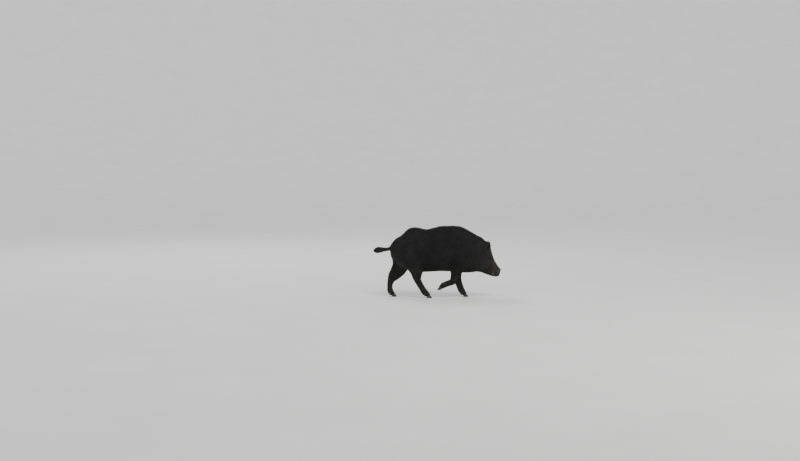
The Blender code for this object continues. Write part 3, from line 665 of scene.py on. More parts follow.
def lid_opening(a, b):
    """Below zero inside the almond between the lids."""
    ru = (LID_HALF ** 2 + LID_RISE ** 2) / (2 * LID_RISE)
    rd = (LID_HALF ** 2 + LID_DROP ** 2) / (2 * LID_DROP)
    up = np.sqrt(a * a + (b - (LID_RISE - ru)) ** 2) - ru
    dn = np.sqrt(a * a + (b - (rd - LID_DROP)) ** 2) - rd
    return np.maximum(up, dn)


def nostril(y, h):
    """Below one inside the oval nostril of either side."""
    u = (np.abs(y) - 0.0175) / 0.0072
    w = (h - 0.004 - 0.35 * (np.abs(y) - 0.0175)) / 0.0094
    return np.sqrt(u * u + w * w + 1e-9)


def mouth_distance(s, h):
    p = np.stack((s, h), 1)
    d = np.full(len(s), 9.0)
    for a, b in zip(MOUTH[:-1], MOUTH[1:]):
        ab = b - a
        t = np.clip(((p - a) @ ab) / (ab @ ab), 0, 1)
        d = np.minimum(d, np.linalg.norm(p - a - t[:, None] * ab, axis=1))
    return d


def skin_field(P):
    """Skin with ears, lids, nostrils, lips and folds worked in."""
    F = inner_field(P)
    for ear in EARS:
        near = np.all((P > ear.lo) & (P < ear.hi), axis=1)
        if near.any():
            F[near] = smooth_min(F[near], ear(P[near]), 0.012)
    s, y, h = head_coords(P)
    hm = (s > -0.30) & (s < 0.06) & (np.abs(y) < 0.12) & (np.abs(h) < 0.22)
    if not hm.any():
        return F
    f, s, y, h, Q = F[hm], s[hm], y[hm], h[hm], P[hm]
    for side in (1, -1):
        a, b, o = eye_coords(Q, side)
        r = np.sqrt(a * a + b * b + o * o + 1e-12)
        m = r < 0.05
        if m.any():
            a, b, o, r = a[m], b[m], o[m], r[m]
            g = smooth_min(f[m], r - (EYE_RADIUS + 0.0021), 0.011)
            outside = step(-0.002, 0.006, o)
            ring = np.sqrt((a / 1.30) ** 2 + (b / 0.92) ** 2)
            fold = np.exp(-((ring - 0.0150) / 0.0016) ** 2)
            g = g + 0.0018 * fold * outside * (0.45 + 0.55 * step(0, 0.004, b))
            bag = np.exp(-((ring - 0.0215) / 0.0018) ** 2)
            g = g + 0.0011 * bag * outside
            wrinkle = np.exp(-((ring - 0.0280) / 0.0020) ** 2)
            f[m] = g + 0.0006 * wrinkle * outside * step(-0.004, -0.012, b)
    # flat disc overhanging the chin, its rim, and the folds behind it
    m = s > -0.075
    if m.any():
        s1, y1, h1, g = s[m], y[m], h[m], f[m]
        front = 0.0060 - 0.018 * step(-0.033, -0.045, h1)
        dish = 0.0016 * np.exp(-((y1 / 0.020) ** 2 + (h1 / 0.020) ** 2))
        g = smooth_max(g, s1 - front + dish, 0.0035)
        up = step(-0.030, 0.010, h1)
        g = g + 0.0024 * np.exp(-((s1 + 0.014) / 0.0036) ** 2) * (0.4 + 0.6 * up)
        g = g + 0.0013 * np.exp(-((s1 + 0.026) / 0.0032) ** 2) * up
        g = g + 0.0010 * np.exp(-((s1 + 0.037) / 0.0032) ** 2) * up
        g = g + 0.0007 * np.exp(-((s1 + 0.049) / 0.0032) ** 2) * up
        g = g + 0.0022 * np.exp(-(y1 / 0.0026) ** 2) \
            * step(-0.004, 0.002, s1) * step(-0.002, -0.014, h1)
        q = nostril(y1, h1)
        g = g - 0.0014 * np.exp(-((q - 1.35) / 0.30) ** 2) * step(-0.01, 0, s1)
        f[m] = g
    # lips
    m = (s > -0.20) & (h < 0.0) & (h > -0.14)
    if m.any():
        s1, h1 = s[m], h[m]
        d = mouth_distance(s1, h1)
        fade = step(-0.168, -0.140, s1) * step(0.012, 0.004, s1)
        f[m] += (0.0052 * np.exp(-(d / 0.0020) ** 2)
                 - 0.0014 * np.exp(-((d - 0.0062) / 0.0036) ** 2)) * fade
    F[hm] = f
    return F


# --------------------------------------------------------------- mesh basics
def new_mesh(name, V, F):
    me = bpy.data.meshes.new(name)
    me.from_pydata([tuple(map(float, v)) for v in V], [],
                   [tuple(int(i) for i in f) for f in F])
    me.update()
    ob = bpy.data.objects.new(name, me)
    bpy.context.scene.collection.objects.link(ob)
    return ob


def fix_normals(ob):
    bm = bmesh.new()
    bm.from_mesh(ob.data)
    bmesh.ops.recalc_face_normals(bm, faces=bm.faces)
    bm.to_mesh(ob.data)
    bm.free()
    return ob


def get_verts(me):
    a = np.empty(len(me.vertices) * 3, np.float32)
    me.vertices.foreach_get("co", a)
    return a.reshape(-1, 3).astype(float)


def set_verts(me, V):
    me.vertices.foreach_set("co", np.asarray(V, np.float32).ravel())
    me.update()


def baked(ob, name):
    dg = bpy.context.evaluated_depsgraph_get()
    me = bpy.data.meshes.new_from_object(ob.evaluated_get(dg))
    out = bpy.data.objects.new(name, me)
    bpy.context.scene.collection.objects.link(out)
    bpy.data.objects.remove(ob, do_unlink=True)
    return out


def relax(me, V, weight, rounds=1):
    E = np.empty(len(me.edges) * 2, np.int64)
    me.edges.foreach_get("vertices", E)
    E = E.reshape(-1, 2)
    deg = np.maximum(np.bincount(E.ravel(), minlength=len(V)), 1)[:, None]
    for _ in range(rounds):
        acc = np.empty_like(V)
        for k in range(3):
            acc[:, k] = (np.bincount(E[:, 0], V[E[:, 1], k], len(V))
                         + np.bincount(E[:, 1], V[E[:, 0], k], len(V)))
        V = V + (acc / deg - V) * weight[:, None]
    return V


def refine(me, pick):
    """Split the faces whose corners are all picked."""
    V = get_verts(me)
    chosen = pick(V)
    bm = bmesh.new()
    bm.from_mesh(me)
    edges = [e for e in bm.edges
             if chosen[e.verts[0].index] and chosen[e.verts[1].index]]
    bmesh.ops.subdivide_edges(bm, edges=edges, cuts=1, use_grid_fill=True)
    bm.to_mesh(me)
    bm.free()
    me.update()
    V = get_verts(me)
    return V, pick(V)


def smooth_shade(me):
    me.polygons.foreach_set("use_smooth", np.ones(len(me.polygons), bool))
    me.update()


# ------------------------------------------------------------------ the skin
def near_ear(P, reach=0.0):
    out = np.zeros(len(P), bool)
    for ear in EARS:
        out |= np.all((P > ear.lo + 0.035 - 0.020 - reach)
                      & (P < ear.hi - 0.035 + 0.020 + reach), axis=1)
    return out


def near_leaf(P, reach):
    out = near_ear(P)
    for i in np.flatnonzero(out):
        p = Vector(P[i])
        out[i] = min(e.tree.find_nearest(p)[3] for e in EARS) < reach
    return out


def pick_head(P):
    s, y, h = head_coords(P)
    return ((s > -0.285) & (P[:, 0] > 0.44)) | near_ear(P)


def pick_face(P):
    s, y, h = head_coords(P)
    eye = np.zeros(len(P), bool)
    for side in (1, -1):
        eye |= ((P - EYE_AT[side]) ** 2).sum(1) < 0.040 ** 2
    lips = (mouth_distance(s, h) < 0.014) & (s > -0.19) & (h < 0)
    return (s > -0.062) | eye | lips | near_leaf(P, 0.010)


def pick_fine(P):
    s, y, h = head_coords(P)
    eye = np.zeros(len(P), bool)
    for side in (1, -1):
        a, b, o = eye_coords(P, side)
        eye |= (a * a + b * b < 0.019 ** 2) & (o > -0.004) & (o < 0.03)
    return eye | ((s > -0.010) & (nostril(y, h) < 2.0))


def make_skin():
    V, F = surface_net(inner_field, (-0.775, -0.200, -0.010),
                       (0.745, 0.200, 0.845), 0.009)
    obs = [fix_normals(new_mesh("net", V, F))]
    for ear in EARS:
        EV, EF = ear.thick_leaf(0.0052)
        obs.append(fix_normals(new_mesh("leaf", EV, EF)))
    bm = bmesh.new()
    for ob in obs:
        bm.from_mesh(ob.data)
    me = bpy.data.meshes.new("skin")
    bm.to_mesh(me)
    bm.free()
    for ob in obs:
        bpy.data.objects.remove(ob, do_unlink=True)
    skin = bpy.data.objects.new("skin", me)
    bpy.context.scene.collection.objects.link(skin)
    m = skin.modifiers.new("one", 'REMESH')
    m.mode, m.voxel_size = 'VOXEL', 0.0071
    skin = baked(skin, "skin")
    me = skin.data
    V = get_verts(me)
    V = newton(inner_field, V, ~near_ear(V), 2)
    V = newton(skin_field, V, near_ear(V), 4, 0.002)
    set_verts(me, V)
    for level, pick in enumerate((pick_head, pick_face, pick_fine)):
        V, m = refine(me, pick)
        V = relax(me, V, np.where(m, 0.5, 0.0), 1)
        V = newton(skin_field, V, m, 3, 0.003)
        leaf = near_leaf(V, 0.009) if level < 2 else np.zeros(len(V), bool)
        for _ in range(5 if leaf.any() else 0):
            V = relax(me, V, np.where(leaf, 0.5, 0.0), 1)
            V = newton(skin_field, V, leaf, 1, 0.003)
        set_verts(me, V)
    V = relax(me, V, np.where(m, 0.35, 0.0), 2)
    V = newton(skin_field, V, m, 2, 0.002)
    set_verts(me, carve(V))
    smooth_shade(me)
    return skin


def carve(V):
    """Open the lids over the eyeballs and sink the nostrils."""
    for side in (1, -1):
        out, fwd, up = eye_axes(side)
        a, b, o = eye_coords(V, side)
        m = (a * a + b * b < 0.020 ** 2) & (o > 0.003) & (o < 0.03)
        d = lid_opening(a, b)
        e = 1e-4
        ga = (lid_opening(a + e, b) - lid_opening(a - e, b)) / (2 * e)
        gb = (lid_opening(a, b + e) - lid_opening(a, b - e)) / (2 * e)
        rim = m & (np.abs(d) < 0.00055)
        V[rim] -= (d * ga)[rim, None] * fwd + (d * gb)[rim, None] * up
        inside = m & (d <= -0.00055)
        deep = np.sqrt(np.maximum((EYE_RADIUS - 0.0024) ** 2
                                  - a * a - b * b, 1e-6))
        V[inside] += (deep - o)[inside, None] * out
    s, y, h = head_coords(V)
    q = nostril(y, h)
    m = (s > -0.008) & (q < 1.25)
    depth = 0.0135 * np.clip(1 - (q / 1.05) ** 3, 0, 1) + 0.0012 \
        * step(1.25, 1.0, q)
    V[m] -= depth[m, None] * (E1 + 0.55 * E3)
    return V


# ------------------------------------------------------------- the markings and painted shade
def markings_and_shade(P, R=None):
    """The coat's colour at its roots, with painted shade in the ears' hollows,
    shared by skin and hair.
    """
    R = R or regions(P)
    x, y, z = P[:, 0], P[:, 1], P[:, 2]
    v, s, h = R["v"], R["s"], R["h"]

    def mix(c, colour, w):
        return c + (np.array(colour) - c) * np.clip(w, 0, 1)[:, None]

    c = np.tile(np.array((0.0122, 0.0134, 0.0127)), (len(P), 1))
    c = mix(c, (0.0148, 0.0161, 0.0152), step(0.55, 0.0, np.abs(v + 0.1)) * 0.9)
    c = mix(c, (0.0084, 0.0091, 0.0086), step(0.62, 0.98, v))
    c = mix(c, (0.0176, 0.0176, 0.0154), R["belly"] * 0.8)
    c = mix(c, (0.0206, 0.0203, 0.0176), R["face"] * 0.8)
    cheek = np.exp(-((s + 0.165) / 0.075) ** 2 - ((h + 0.055) / 0.045) ** 2) \
        * (x > 0.42)
    c = mix(c, (0.0315, 0.0310, 0.0272), cheek * 0.7)
    c = mix(c, (0.0370, 0.0295, 0.0225), R["muzzle"] * 0.85)
    for eye in EYE_AT.values():
        c = mix(c, (0.0100, 0.0088, 0.0078),
                np.exp(-((P - eye) ** 2).sum(1) / 0.025 ** 2) * 0.9)
    c = mix(c, (0.0190, 0.0182, 0.0148), R["leg"] * 0.85)
    c = mix(c, (0.0135, 0.0120, 0.0104), R["foot"])
    c = mix(c, (0.0270, 0.0230, 0.0172), R["tail"] * 0.9)
    c = mix(c, (0.0130, 0.0114, 0.0098), R["tail"] * step(-0.64, -0.70, x))
    up, rim, hollow = ear_part(P)
    ear = step(0.02, 0.22, up)
    c = mix(c, (0.0230, 0.0197, 0.0157), ear * 0.8)
    # painted shade: the hollow side of each ear, away from its rim, is darkened
    c = mix(c, (0.0088, 0.0078, 0.0068), ear * hollow * (1 - rim) * 0.85)
    c = mix(c, (0.0400, 0.0345, 0.0270), ear * rim * 0.65)
    c = mix(c, (0.0240, 0.0190, 0.0162), R["disc"] * 0.95)
    wave = (np.sin(23 * x + 9 * z) * np.sin(17 * z - 11 * y + 2)
            + np.sin(41 * x - 19 * z + 5 * y) * 0.6)
    return c * (1 + 0.10 * wave)[:, None]


# ----------------------------------------------------------- lie of the coat
def limb_lines():
    out = []
    for rows in (HIND_LEFT, HIND_RIGHT, FORE_LEFT, FORE_RIGHT, TAIL):
        r = np.array(rows)
        q = np.linspace(0, len(r) - 1, 60)
        out.append(curve(np.arange(len(r), dtype=float), r, q)[:, :3])
    return out


LINES = limb_lines()


def which_limb(P, R):
    """0 hind left, 1 hind right, 2 fore left, 3 fore right, 4 tail."""
    x, y = P[:, 0], P[:, 1]
    k = np.where(y > 0, np.where(x < -0.1, 0, 2), np.where(x < -0.035, 1, 3))
    return np.where(R["tail"] > 0.5, 4, k)


def limb_frame(P, k):
    """Down the limb's line at each point, how far along it, angle round."""
    T = np.zeros_like(P)
    along, around = np.zeros(len(P)), np.zeros(len(P))
    for i, L in enumerate(LINES):
        m = np.flatnonzero(k == i)
        for part in np.array_split(m, max(1, len(m) // 20000)):
            if not len(part):
                continue
            d = ((P[part][:, None, :] - L[None]) ** 2).sum(2)
            j = d.argmin(1)
            t = np.gradient(L, axis=0)
            t /= np.linalg.norm(t, axis=1)[:, None]
            T[part] = t[j]
            off = P[part] - L[j]
            side = np.cross(t[j], E2)
            along[part] = j / (len(L) - 1)
            around[part] = np.arctan2((off * side).sum(1), off[:, 1])
    return T, along, around


def lie(P, R):
    """Which way the hair points, before it is laid on the skin."""
    x, y = P[:, 0], P[:, 1]
    v, s = R["v"], R["s"]
    side = np.tanh(y / 0.03)
    n = len(P)
    down = np.interp(v, (-1.0, -0.6, 0.0, 0.6, 0.95), (0.05, 0.35, 0.50,
                                                      0.38, 0.0))
    d = np.stack((-np.ones(n), 0 * x, -down), 1)
    rump = step(-0.33, -0.52, x)[:, None] * (v < 0.95)[:, None]
    d = d * (1 - rump) + rump * np.stack((-0.55 * np.ones(n), 0.15 * side,
                                          -1.0 * np.ones(n)), 1)
    shoulder = (np.exp(-((x - 0.20) / 0.10) ** 2) * step(0.1, -0.5, v))[:, None]
    d = d + shoulder * np.array((0.25, 0.0, -0.5))
    crest = (R["crest"] * step(0.002, 0.020, mane_height(x)))[:, None]
    d = d * (1 - crest) + crest * np.stack(
        (-0.9 * np.ones(n), 0.12 * side, 0.25 * np.ones(n)), 1)
    sway = (0.16 * np.sin(31 * x + 13 * P[:, 2] + 7 * y)
            + 0.12 * np.sin(57 * P[:, 2] - 19 * x + 23 * y + 1.3)) \
        * (1 - R["face"]) * (1 - R["leg"])
    d = d + np.stack((0.3 * sway, 0 * x, sway), 1)
    back = -E1 + np.stack((0 * x, 0.10 * side, -0.32 * step(0.6, -0.2, v)), 1)
    w = (step(-0.44, -0.33, s) * step(0.36, 0.47, x))[:, None]
    d = d * (1 - w) + back * w
    for eye in EYE_AT.values():
        Q = P - eye
        r = np.linalg.norm(Q, axis=1)
        m = (np.exp(-(r / 0.030) ** 2) * 0.7)[:, None]
        along = Q @ E1
        Q = Q - np.outer(along, E1)
        d = d + m * Q / np.maximum(r, 1e-4)[:, None]
        before = np.exp(-(r / 0.040) ** 2) * step(0.004, 0.022, along) \
            * step(0.016, 0.025, r)
        d = d + (before * 1.5)[:, None] * (E3 + 0.15 * np.sign(eye[1]) * E2)
    beard = R["beard"][:, None]
    d = d + beard * np.array((0.0, 0.0, -0.55))
    k = which_limb(P, R)
    on = np.maximum(step(0.40, 0.27, P[:, 2]) * (1 - step(0.40, 0.46, x)),
                    R["tail"])
    T = np.zeros_like(P)
    m = on > 0
    if m.any():
        T[m] = limb_frame(P[m], k[m])[0]
    d = unit(d) * (1 - on[:, None]) + T * on[:, None]
    for e in EARS:
        m = np.all((P > e.lo + 0.012) & (P < e.hi - 0.012), axis=1)
        if not m.any():
            continue
        t, u = e.place(P[m])
        away = np.array([e.tree.find_nearest(Vector(q))[3] for q in P[m]])
        w = (step(0.03, 0.20, t) * step(0.016, 0.0065, away))[:, None]
        d[m] = d[m] * (1 - w) + w * (e.T + 0.30 * np.clip(u, -1, 1)[:, None]
                                     * e.S)
    return unit(d)


# ----------------------------------------------------------------- the tufts
def ear_part(P):
    """0 off the ears, else how far up the ear; and how near its rim."""
    up, rim, hollow = np.zeros(len(P)), np.zeros(len(P)), np.zeros(len(P))
    for e in EARS:
        m = np.flatnonzero(np.all((P > e.lo + 0.020) & (P < e.hi - 0.020),
                                  axis=1))
        if not len(m):
            continue
        t, u = e.place(P[m])
        for i, ti, ui in zip(m, t, u):
            q, _, _, dist = e.tree.find_nearest(Vector(P[i]))
            if dist < 0.0062 and ti > 0.02:
                up[i] = ti
                rim[i] = min(1.0, max(0.0, (abs(ui) - 0.72) / 0.2))
                mid = e.point(min(ti, 1.0), max(-1, min(1, ui)))
                curl = 1.30 * (1 - 0.55 * ti) * ui
                out = e.S * math.sin(curl) - e.N * math.cos(curl)
                hollow[i] = 1.0 if (P[i] - mid) @ out < 0 else 0.0
    return up, rim, hollow


def tuft_plan(P, R, ear, rim, hollow):
    """Tufts per square metre, length, width and stiffness at each point."""
    s, x, v = R["s"], P[:, 0], R["v"]
    f, leg, tail = R["face"], R["leg"], R["tail"]
    mane = np.clip(R["crest"], 0, 1) * step(0.006, 0.022, mane_height(x))

    def blend(body, face, legs, tails, foot):
        a = body * (1 - f) + f * face
        a = a * (1 - leg) + leg * legs
        a = a * (1 - R["foot"]) + R["foot"] * foot
        return a * (1 - tail) + tail * tails

    per = blend(50e3 + 24e3 * mane,
                table(s, ((-0.34, 60e3), (-0.25, 90e3), (-0.15, 140e3),
                          (-0.05, 200e3), (-0.022, 200e3), (-0.014, 0.0))),
                105e3, 130e3, 120e3)
    length = blend(
        table(x, ((-0.55, 0.030), (-0.40, 0.036), (-0.20, 0.042),
                  (0.05, 0.050), (0.30, 0.056), (0.45, 0.046))),
        table(s, ((-0.34, 0.034), (-0.26, 0.020), (-0.18, 0.0125),
                  (-0.10, 0.0080), (-0.05, 0.0055), (-0.02, 0.0035))),
        table(P[:, 2], ((0.03, 0.0075), (0.12, 0.011), (0.30, 0.022))),
        table(x, ((-0.74, 0.040), (-0.68, 0.048), (-0.64, 0.034),
                  (-0.60, 0.016), (-0.55, 0.020))), 0.0075)
    length = length + 0.042 * mane * (1 - f) * np.clip(
        mane_height(x) / 0.040, 0, 1) + 0.018 * R["beard"] \
        + 0.012 * R["crest"] * step(0.3, 0.8, f)
    width = blend(0.0036 + 0.0002 * mane,
                  table(s, ((-0.34, 0.0032), (-0.25, 0.0023), (-0.15, 0.0017),
                            (-0.05, 0.0012), (-0.02, 0.0009))),
                  0.0019, 0.0019, 0.0016)
    on = ear > 0
    per = np.where(on, 150e3, per)
    length = np.where(on, 0.0085 + 0.007 * rim + 0.006 * hollow
                      * step(0.75, 0.2, ear), length)
    width = np.where(on, 0.0014, width)
    for side, eye in EYE_AT.items():
        a, b, o = eye_coords(P, side)
        near = np.sqrt(a * a + b * b + o * o)
        m = (near < 0.035) & (o > 0)
        edge = lid_opening(a, b)
        w = step(0.035, 0.014, near)
        length = np.where(m, length * (1 - w) + 0.0058 * w, length)
        width = np.where(m, width * (1 - w) + 0.0013 * w, width)
        per = np.where(m, per + (330e3 - per) * w, per)
        per = np.where(m & (edge < 0.0016), 0.0, per)
    return per, length, width, mane


def scatter(me, P, N, per):
    """Root points spread over the skin, as many per face as it should hold."""
    me.calc_loop_triangles()
    tri = np.empty(len(me.loop_triangles) * 3, np.int64)
    me.loop_triangles.foreach_get("vertices", tri)
    tri = tri.reshape(-1, 3)
    A, B, C = P[tri[:, 0]], P[tri[:, 1]], P[tri[:, 2]]
    area = np.linalg.norm(np.cross(B - A, C - A), axis=1) / 2
    want = np.cumsum(area * per[tri].mean(1)) + 0.37
    count = np.floor(want).astype(int)
    count = np.diff(np.concatenate(([0], count)))
    who = np.repeat(np.arange(len(tri)), count)
    r1, r2 = RNG.random(len(who)), RNG.random(len(who))
    flip = r1 + r2 > 1
    r1[flip], r2[flip] = 1 - r1[flip], 1 - r2[flip]
    w = np.stack((1 - r1 - r2, r1, r2), 1)
    roots = (P[tri[who]] * w[:, :, None]).sum(1)
    normals = unit((N[tri[who]] * w[:, :, None]).sum(1))
    return roots, normals, who, w, tri


def lay(P, N, length, width, reach, rings, stray):
    """Paths of the tufts: their rings' centres and sideways directions.

    rings is a list of (how far along, how wide).  A tuft starts just under
    the skin and its tip ends near the coat's outer surface.
    """
    R = regions(P)
    ear, rim, hollow = ear_part(P)
    on = ear > 0
    depth = coat_depth(P, R)
    depth[on] = 0.0030 + 0.0040 * rim[on]
    for eye in EYE_AT.values():
        lid = ((P - eye) ** 2).sum(1) < 0.0225 ** 2
        depth[lid] = 0.0013
        on = on | lid
    d = lie(P, R)
    d = d + RNG.normal(0, 1, P.shape) * stray[:, None]
    n = N.copy()
    centres = [P - n * 0.0016]
    here, last = P.copy(), 0.0
    flow, normals = [], [n]
    high = np.zeros(len(P))
    for u, _ in rings[1:]:
        rise = 1 - (1 - u) ** 1.55
        t = unit(d - n * (d * n).sum(1)[:, None])
        leg = length * (u - last)
        climb = depth * reach * rise - high
        run = np.sqrt(np.maximum(leg ** 2 - climb ** 2, (0.4 * leg) ** 2))
        flow.append(t)
        here = here + t * run[:, None] + n * climb[:, None]
        if (~on).any():
            m = ~on
            Q = here[m]
            value, g = value_and_gradient(field, Q)
            local = np.minimum(coat_depth(Q), depth[m] * 1.25 + 0.004)
            target = -local * (1 - reach[m] * rise)
            g2 = np.maximum((g * g).sum(1), 0.3)
            move = np.clip((target - value) / g2, -0.012, 0.012)
            here[m] = Q + move[:, None] * g
            n = n.copy()
            n[m] = unit(g)
        high = depth * reach * rise
        centres.append(here)
        normals.append(n)
        last = u
        d = 0.65 * t + 0.35 * unit(d)
    flow.append(flow[-1])
    return centres, flow, normals, R, ear


def tuft_mesh(name, centres, flow, normals, width, rings, colour, uv, rand):
    """One joined mesh of closed three-sided locks."""
    k, n = len(rings), len(centres[0])
    per = 3 * (k - 1) + 1
    V = np.empty((n, per, 3))
    along = np.empty((n, per))
    across = np.empty((n, per))
    for i, (u, w) in enumerate(rings[:-1]):
        side = unit(np.cross(flow[i], normals[i]))
        up = normals[i]
        hw = (width * w / 2)[:, None]
        base = centres[i]
        V[:, 3 * i] = base - side * hw - up * hw * 0.35
        V[:, 3 * i + 1] = base + side * hw - up * hw * 0.35
        V[:, 3 * i + 2] = base + up * hw * 0.75
        along[:, 3 * i:3 * i + 3] = u
        across[:, 3 * i:3 * i + 3] = (-1.0, 1.0, 0.0)
    V[:, -1] = centres[-1]
    along[:, -1], across[:, -1] = 1.0, 0.0
    faces = [(2, 1, 0)]
    for i in range(k - 2):
        a, b = 3 * i, 3 * i + 3
        for j in range(3):
            q = (j + 1) % 3
            faces += [(a + j, a + q, b + q), (a + j, b + q, b + j)]
    a, tip = 3 * (k - 2), per - 1
    faces += [(a + j, a + (j + 1) % 3, tip) for j in range(3)]
    F = np.array(faces)
    tri = (F[None] + per * np.arange(n)[:, None, None]).reshape(-1, 3)
    me = bpy.data.meshes.new(name)
    me.vertices.add(n * per)
    me.vertices.foreach_set("co", (V.reshape(-1, 3) + SHIFT)
                            .astype(np.float32).ravel())
    me.loops.add(len(tri) * 3)
    me.loops.foreach_set("vertex_index", tri.ravel().astype(np.int32))
    me.polygons.add(len(tri))
    me.polygons.foreach_set("loop_start",
                            np.arange(0, len(tri) * 3, 3, dtype=np.int32))
    me.polygons.foreach_set("use_smooth", np.ones(len(tri), bool))
    me.update(calc_edges=True)
    tint = np.ones((n, per, 4), np.float32)
    tint[:, :, :3] = colour(along, rand)
    at = me.attributes.new("tint", 'FLOAT_COLOR', 'POINT')
    at.data.foreach_set("color", tint.ravel())
    strand = np.zeros((n, per, 3), np.float32)
    strand[:, :, 0] = across + rand[:, None] * 37.0
    strand[:, :, 1] = along
    strand[:, :, 2] = rand[:, None] * 11.0
    at = me.attributes.new("strand", 'FLOAT_VECTOR', 'POINT')
    at.data.foreach_set("vector", strand.ravel())
    layer = me.uv_layers.new(name="OFBake")
    at_uv = np.empty((n, per, 2), np.float32)
    at_uv[:, :, 0] = uv[:, None, 0] + across * 0.0014
    at_uv[:, :, 1] = uv[:, None, 1] + (along - 0.5) * 0.0030
    layer.data.foreach_set("uv", at_uv.reshape(-1, 2)[tri.ravel()].ravel())
    ob = bpy.data.objects.new(name, me)
    bpy.context.scene.collection.objects.link(ob)
    return ob


def unwrap(P, R, kind):
    """The skin laid flat: along the body or limb, and round it."""
    if kind == "limb":
        k = which_limb(P, R)
        _, along, around = limb_frame(P, k)
        return along + 1.3 * k, around
    if kind == "ear":
        t, u = (np.zeros(len(P)), np.zeros(len(P)))
        for i, e in enumerate(EARS):
            m = (P[:, 1] > 0) == (e.side > 0)
            a, b = e.place(P[m])
            t[m], u[m] = a + 1.3 * i, b
        return t, u
    if kind == "head":
        return R["s"], np.arctan2(R["h"] - 0.01, P[:, 1])
    return P[:, 0], np.arctan2(P[:, 2] - 0.53, P[:, 1])


def spread(a, b):
    """Places on the flat skin, evened out so that no two tufts share one."""
    n = len(a)
    cols = max(1, int(round(math.sqrt(n))))
    order = np.argsort(a, kind="stable")
    uv = np.empty((n, 2))
    for i, part in enumerate(np.array_split(order, cols)):
        uv[part, 0] = (i + 0.5) / cols
        part = part[np.argsort(b[part], kind="stable")]
        uv[part, 1] = (np.arange(len(part)) + 0.5) / max(1, len(part))
    return 0.004 + 0.992 * uv


# --------------------------------------------------------------- the coat
GROUPS = ("body", "mane", "head", "limb", "ear")
RINGS = {
    "long": ((0.0, 0.55), (0.34, 1.0), (0.70, 0.62), (1.0, 0.0)),
    "short": ((0.0, 0.70), (0.42, 1.0), (1.0, 0.0)),
}
MAX_PIECE = 190000
MAX_COAT = 1440000


def make_coat(skin, material):
    me = skin.data
    P = get_verts(me)
    N = np.empty(len(P) * 3, np.float32)
    me.vertices.foreach_get("normal", N)
    N = N.reshape(-1, 3).astype(float)
    R = regions(P)
    ear, rim, hollow = ear_part(P)
    per, length, width, mane = tuft_plan(P, R, ear, rim, hollow)
    thin = 1.0
    long_ones = (mane > 0.25) | (length > 0.040)
    area = np.zeros(len(P))
    me.calc_loop_triangles()
    tri = np.empty(len(me.loop_triangles) * 3, np.int64)
    me.loop_triangles.foreach_get("vertices", tri)
    tri = tri.reshape(-1, 3)
    A, B, C = P[tri[:, 0]], P[tri[:, 1]], P[tri[:, 2]]
    size = np.linalg.norm(np.cross(B - A, C - A), axis=1) / 2
    cost = (size * (per * np.where(mane > 0.25, 16, 10))[tri].mean(1)).sum()
    per = per * thin * MAX_COAT / cost
    roots, normals, who, w, tri = scatter(me, P, N, per)

    def at(a):
        return (a[tri[who]] * w).sum(1)

    length, width, mane = at(length), at(width), at(mane)
    ear, tail = at(ear), at(R["tail"])
    n = len(roots)
    length = length * np.exp(RNG.normal(0, 0.16, n))
    width = width * np.exp(RNG.normal(0, 0.18, n))
    RR = regions(roots)
    kind = np.where(mane > 0.25, 1, 0)
    kind = np.where((RR["s"] > -0.33) & (roots[:, 0] > 0.44)
                    & (kind == 0), 2, kind)
    kind = np.where((roots[:, 2] < 0.30) & (roots[:, 0] < 0.42)
                    & (RR["v"] < -0.9) | (RR["tail"] > 0.5), 3, kind)
    kind = np.where(ear > 0.02, 4, kind)
    base = markings_and_shade(roots, RR)
    made = []
    for g, group in enumerate(GROUPS):
        pick = np.flatnonzero(kind == g)
        if not len(pick):
            continue
        style = RINGS["long" if group == "mane" else "short"]
        tris = 16 if group == "mane" else 10
        pieces = int(math.ceil(len(pick) * tris / MAX_PIECE))
        order = pick[np.argsort(roots[pick, 0], kind="stable")]
        for i, part in enumerate(np.array_split(order, pieces)):
            Q = roots[part]
            rand = RNG.random(len(part))
            stray = np.full(len(part), 0.13) + 0.05 * (mane[part] > 0.25)
            reach = np.clip(RNG.normal(1.07, 0.10, len(part)), 0.75, 1.25)
            odd = RNG.random(len(part)) < 0.03
            reach = np.where(odd, reach + 0.18, reach)
            centres, flow, nn, RP, _ = lay(Q, normals[part], length[part],
                                           width[part], reach, style, stray)
            root_colour = base[part]
            tone = np.exp(RNG.normal(0, 0.22, len(part)))
            pale = (RNG.random(len(part)) < 0.09) * RNG.random(len(part))
            dark = RP["foot"] * 0.6 + RP["crest"] * 0.5

            def colour(along, rand, c=root_colour, tone=tone, pale=pale,
                       dark=dark):
                k = 0.55 + 0.60 * step(0.0, 0.5, along) \
                    + (0.45 + 3.2 * pale[:, None]) * step(0.45, 1.0, along) \
                    * (1 - 0.6 * np.clip(dark, 0, 1))[:, None]
                out = c[:, None, :] * (tone[:, None] * k)[:, :, None]
                warm = 1 + np.array((0.05, 0.02, -0.05)) \
                    * step(0.4, 1.0, along)[:, :, None]
                return out * warm
            uv = spread(*unwrap(Q, RP, group))
            name = "coat_%s_%d" % (group, i + 1)
            ob = tuft_mesh(name, centres, flow, nn, width[part], style,
                           colour, uv, rand)
            ob.data.materials.append(material)
            made.append(ob)
    return made


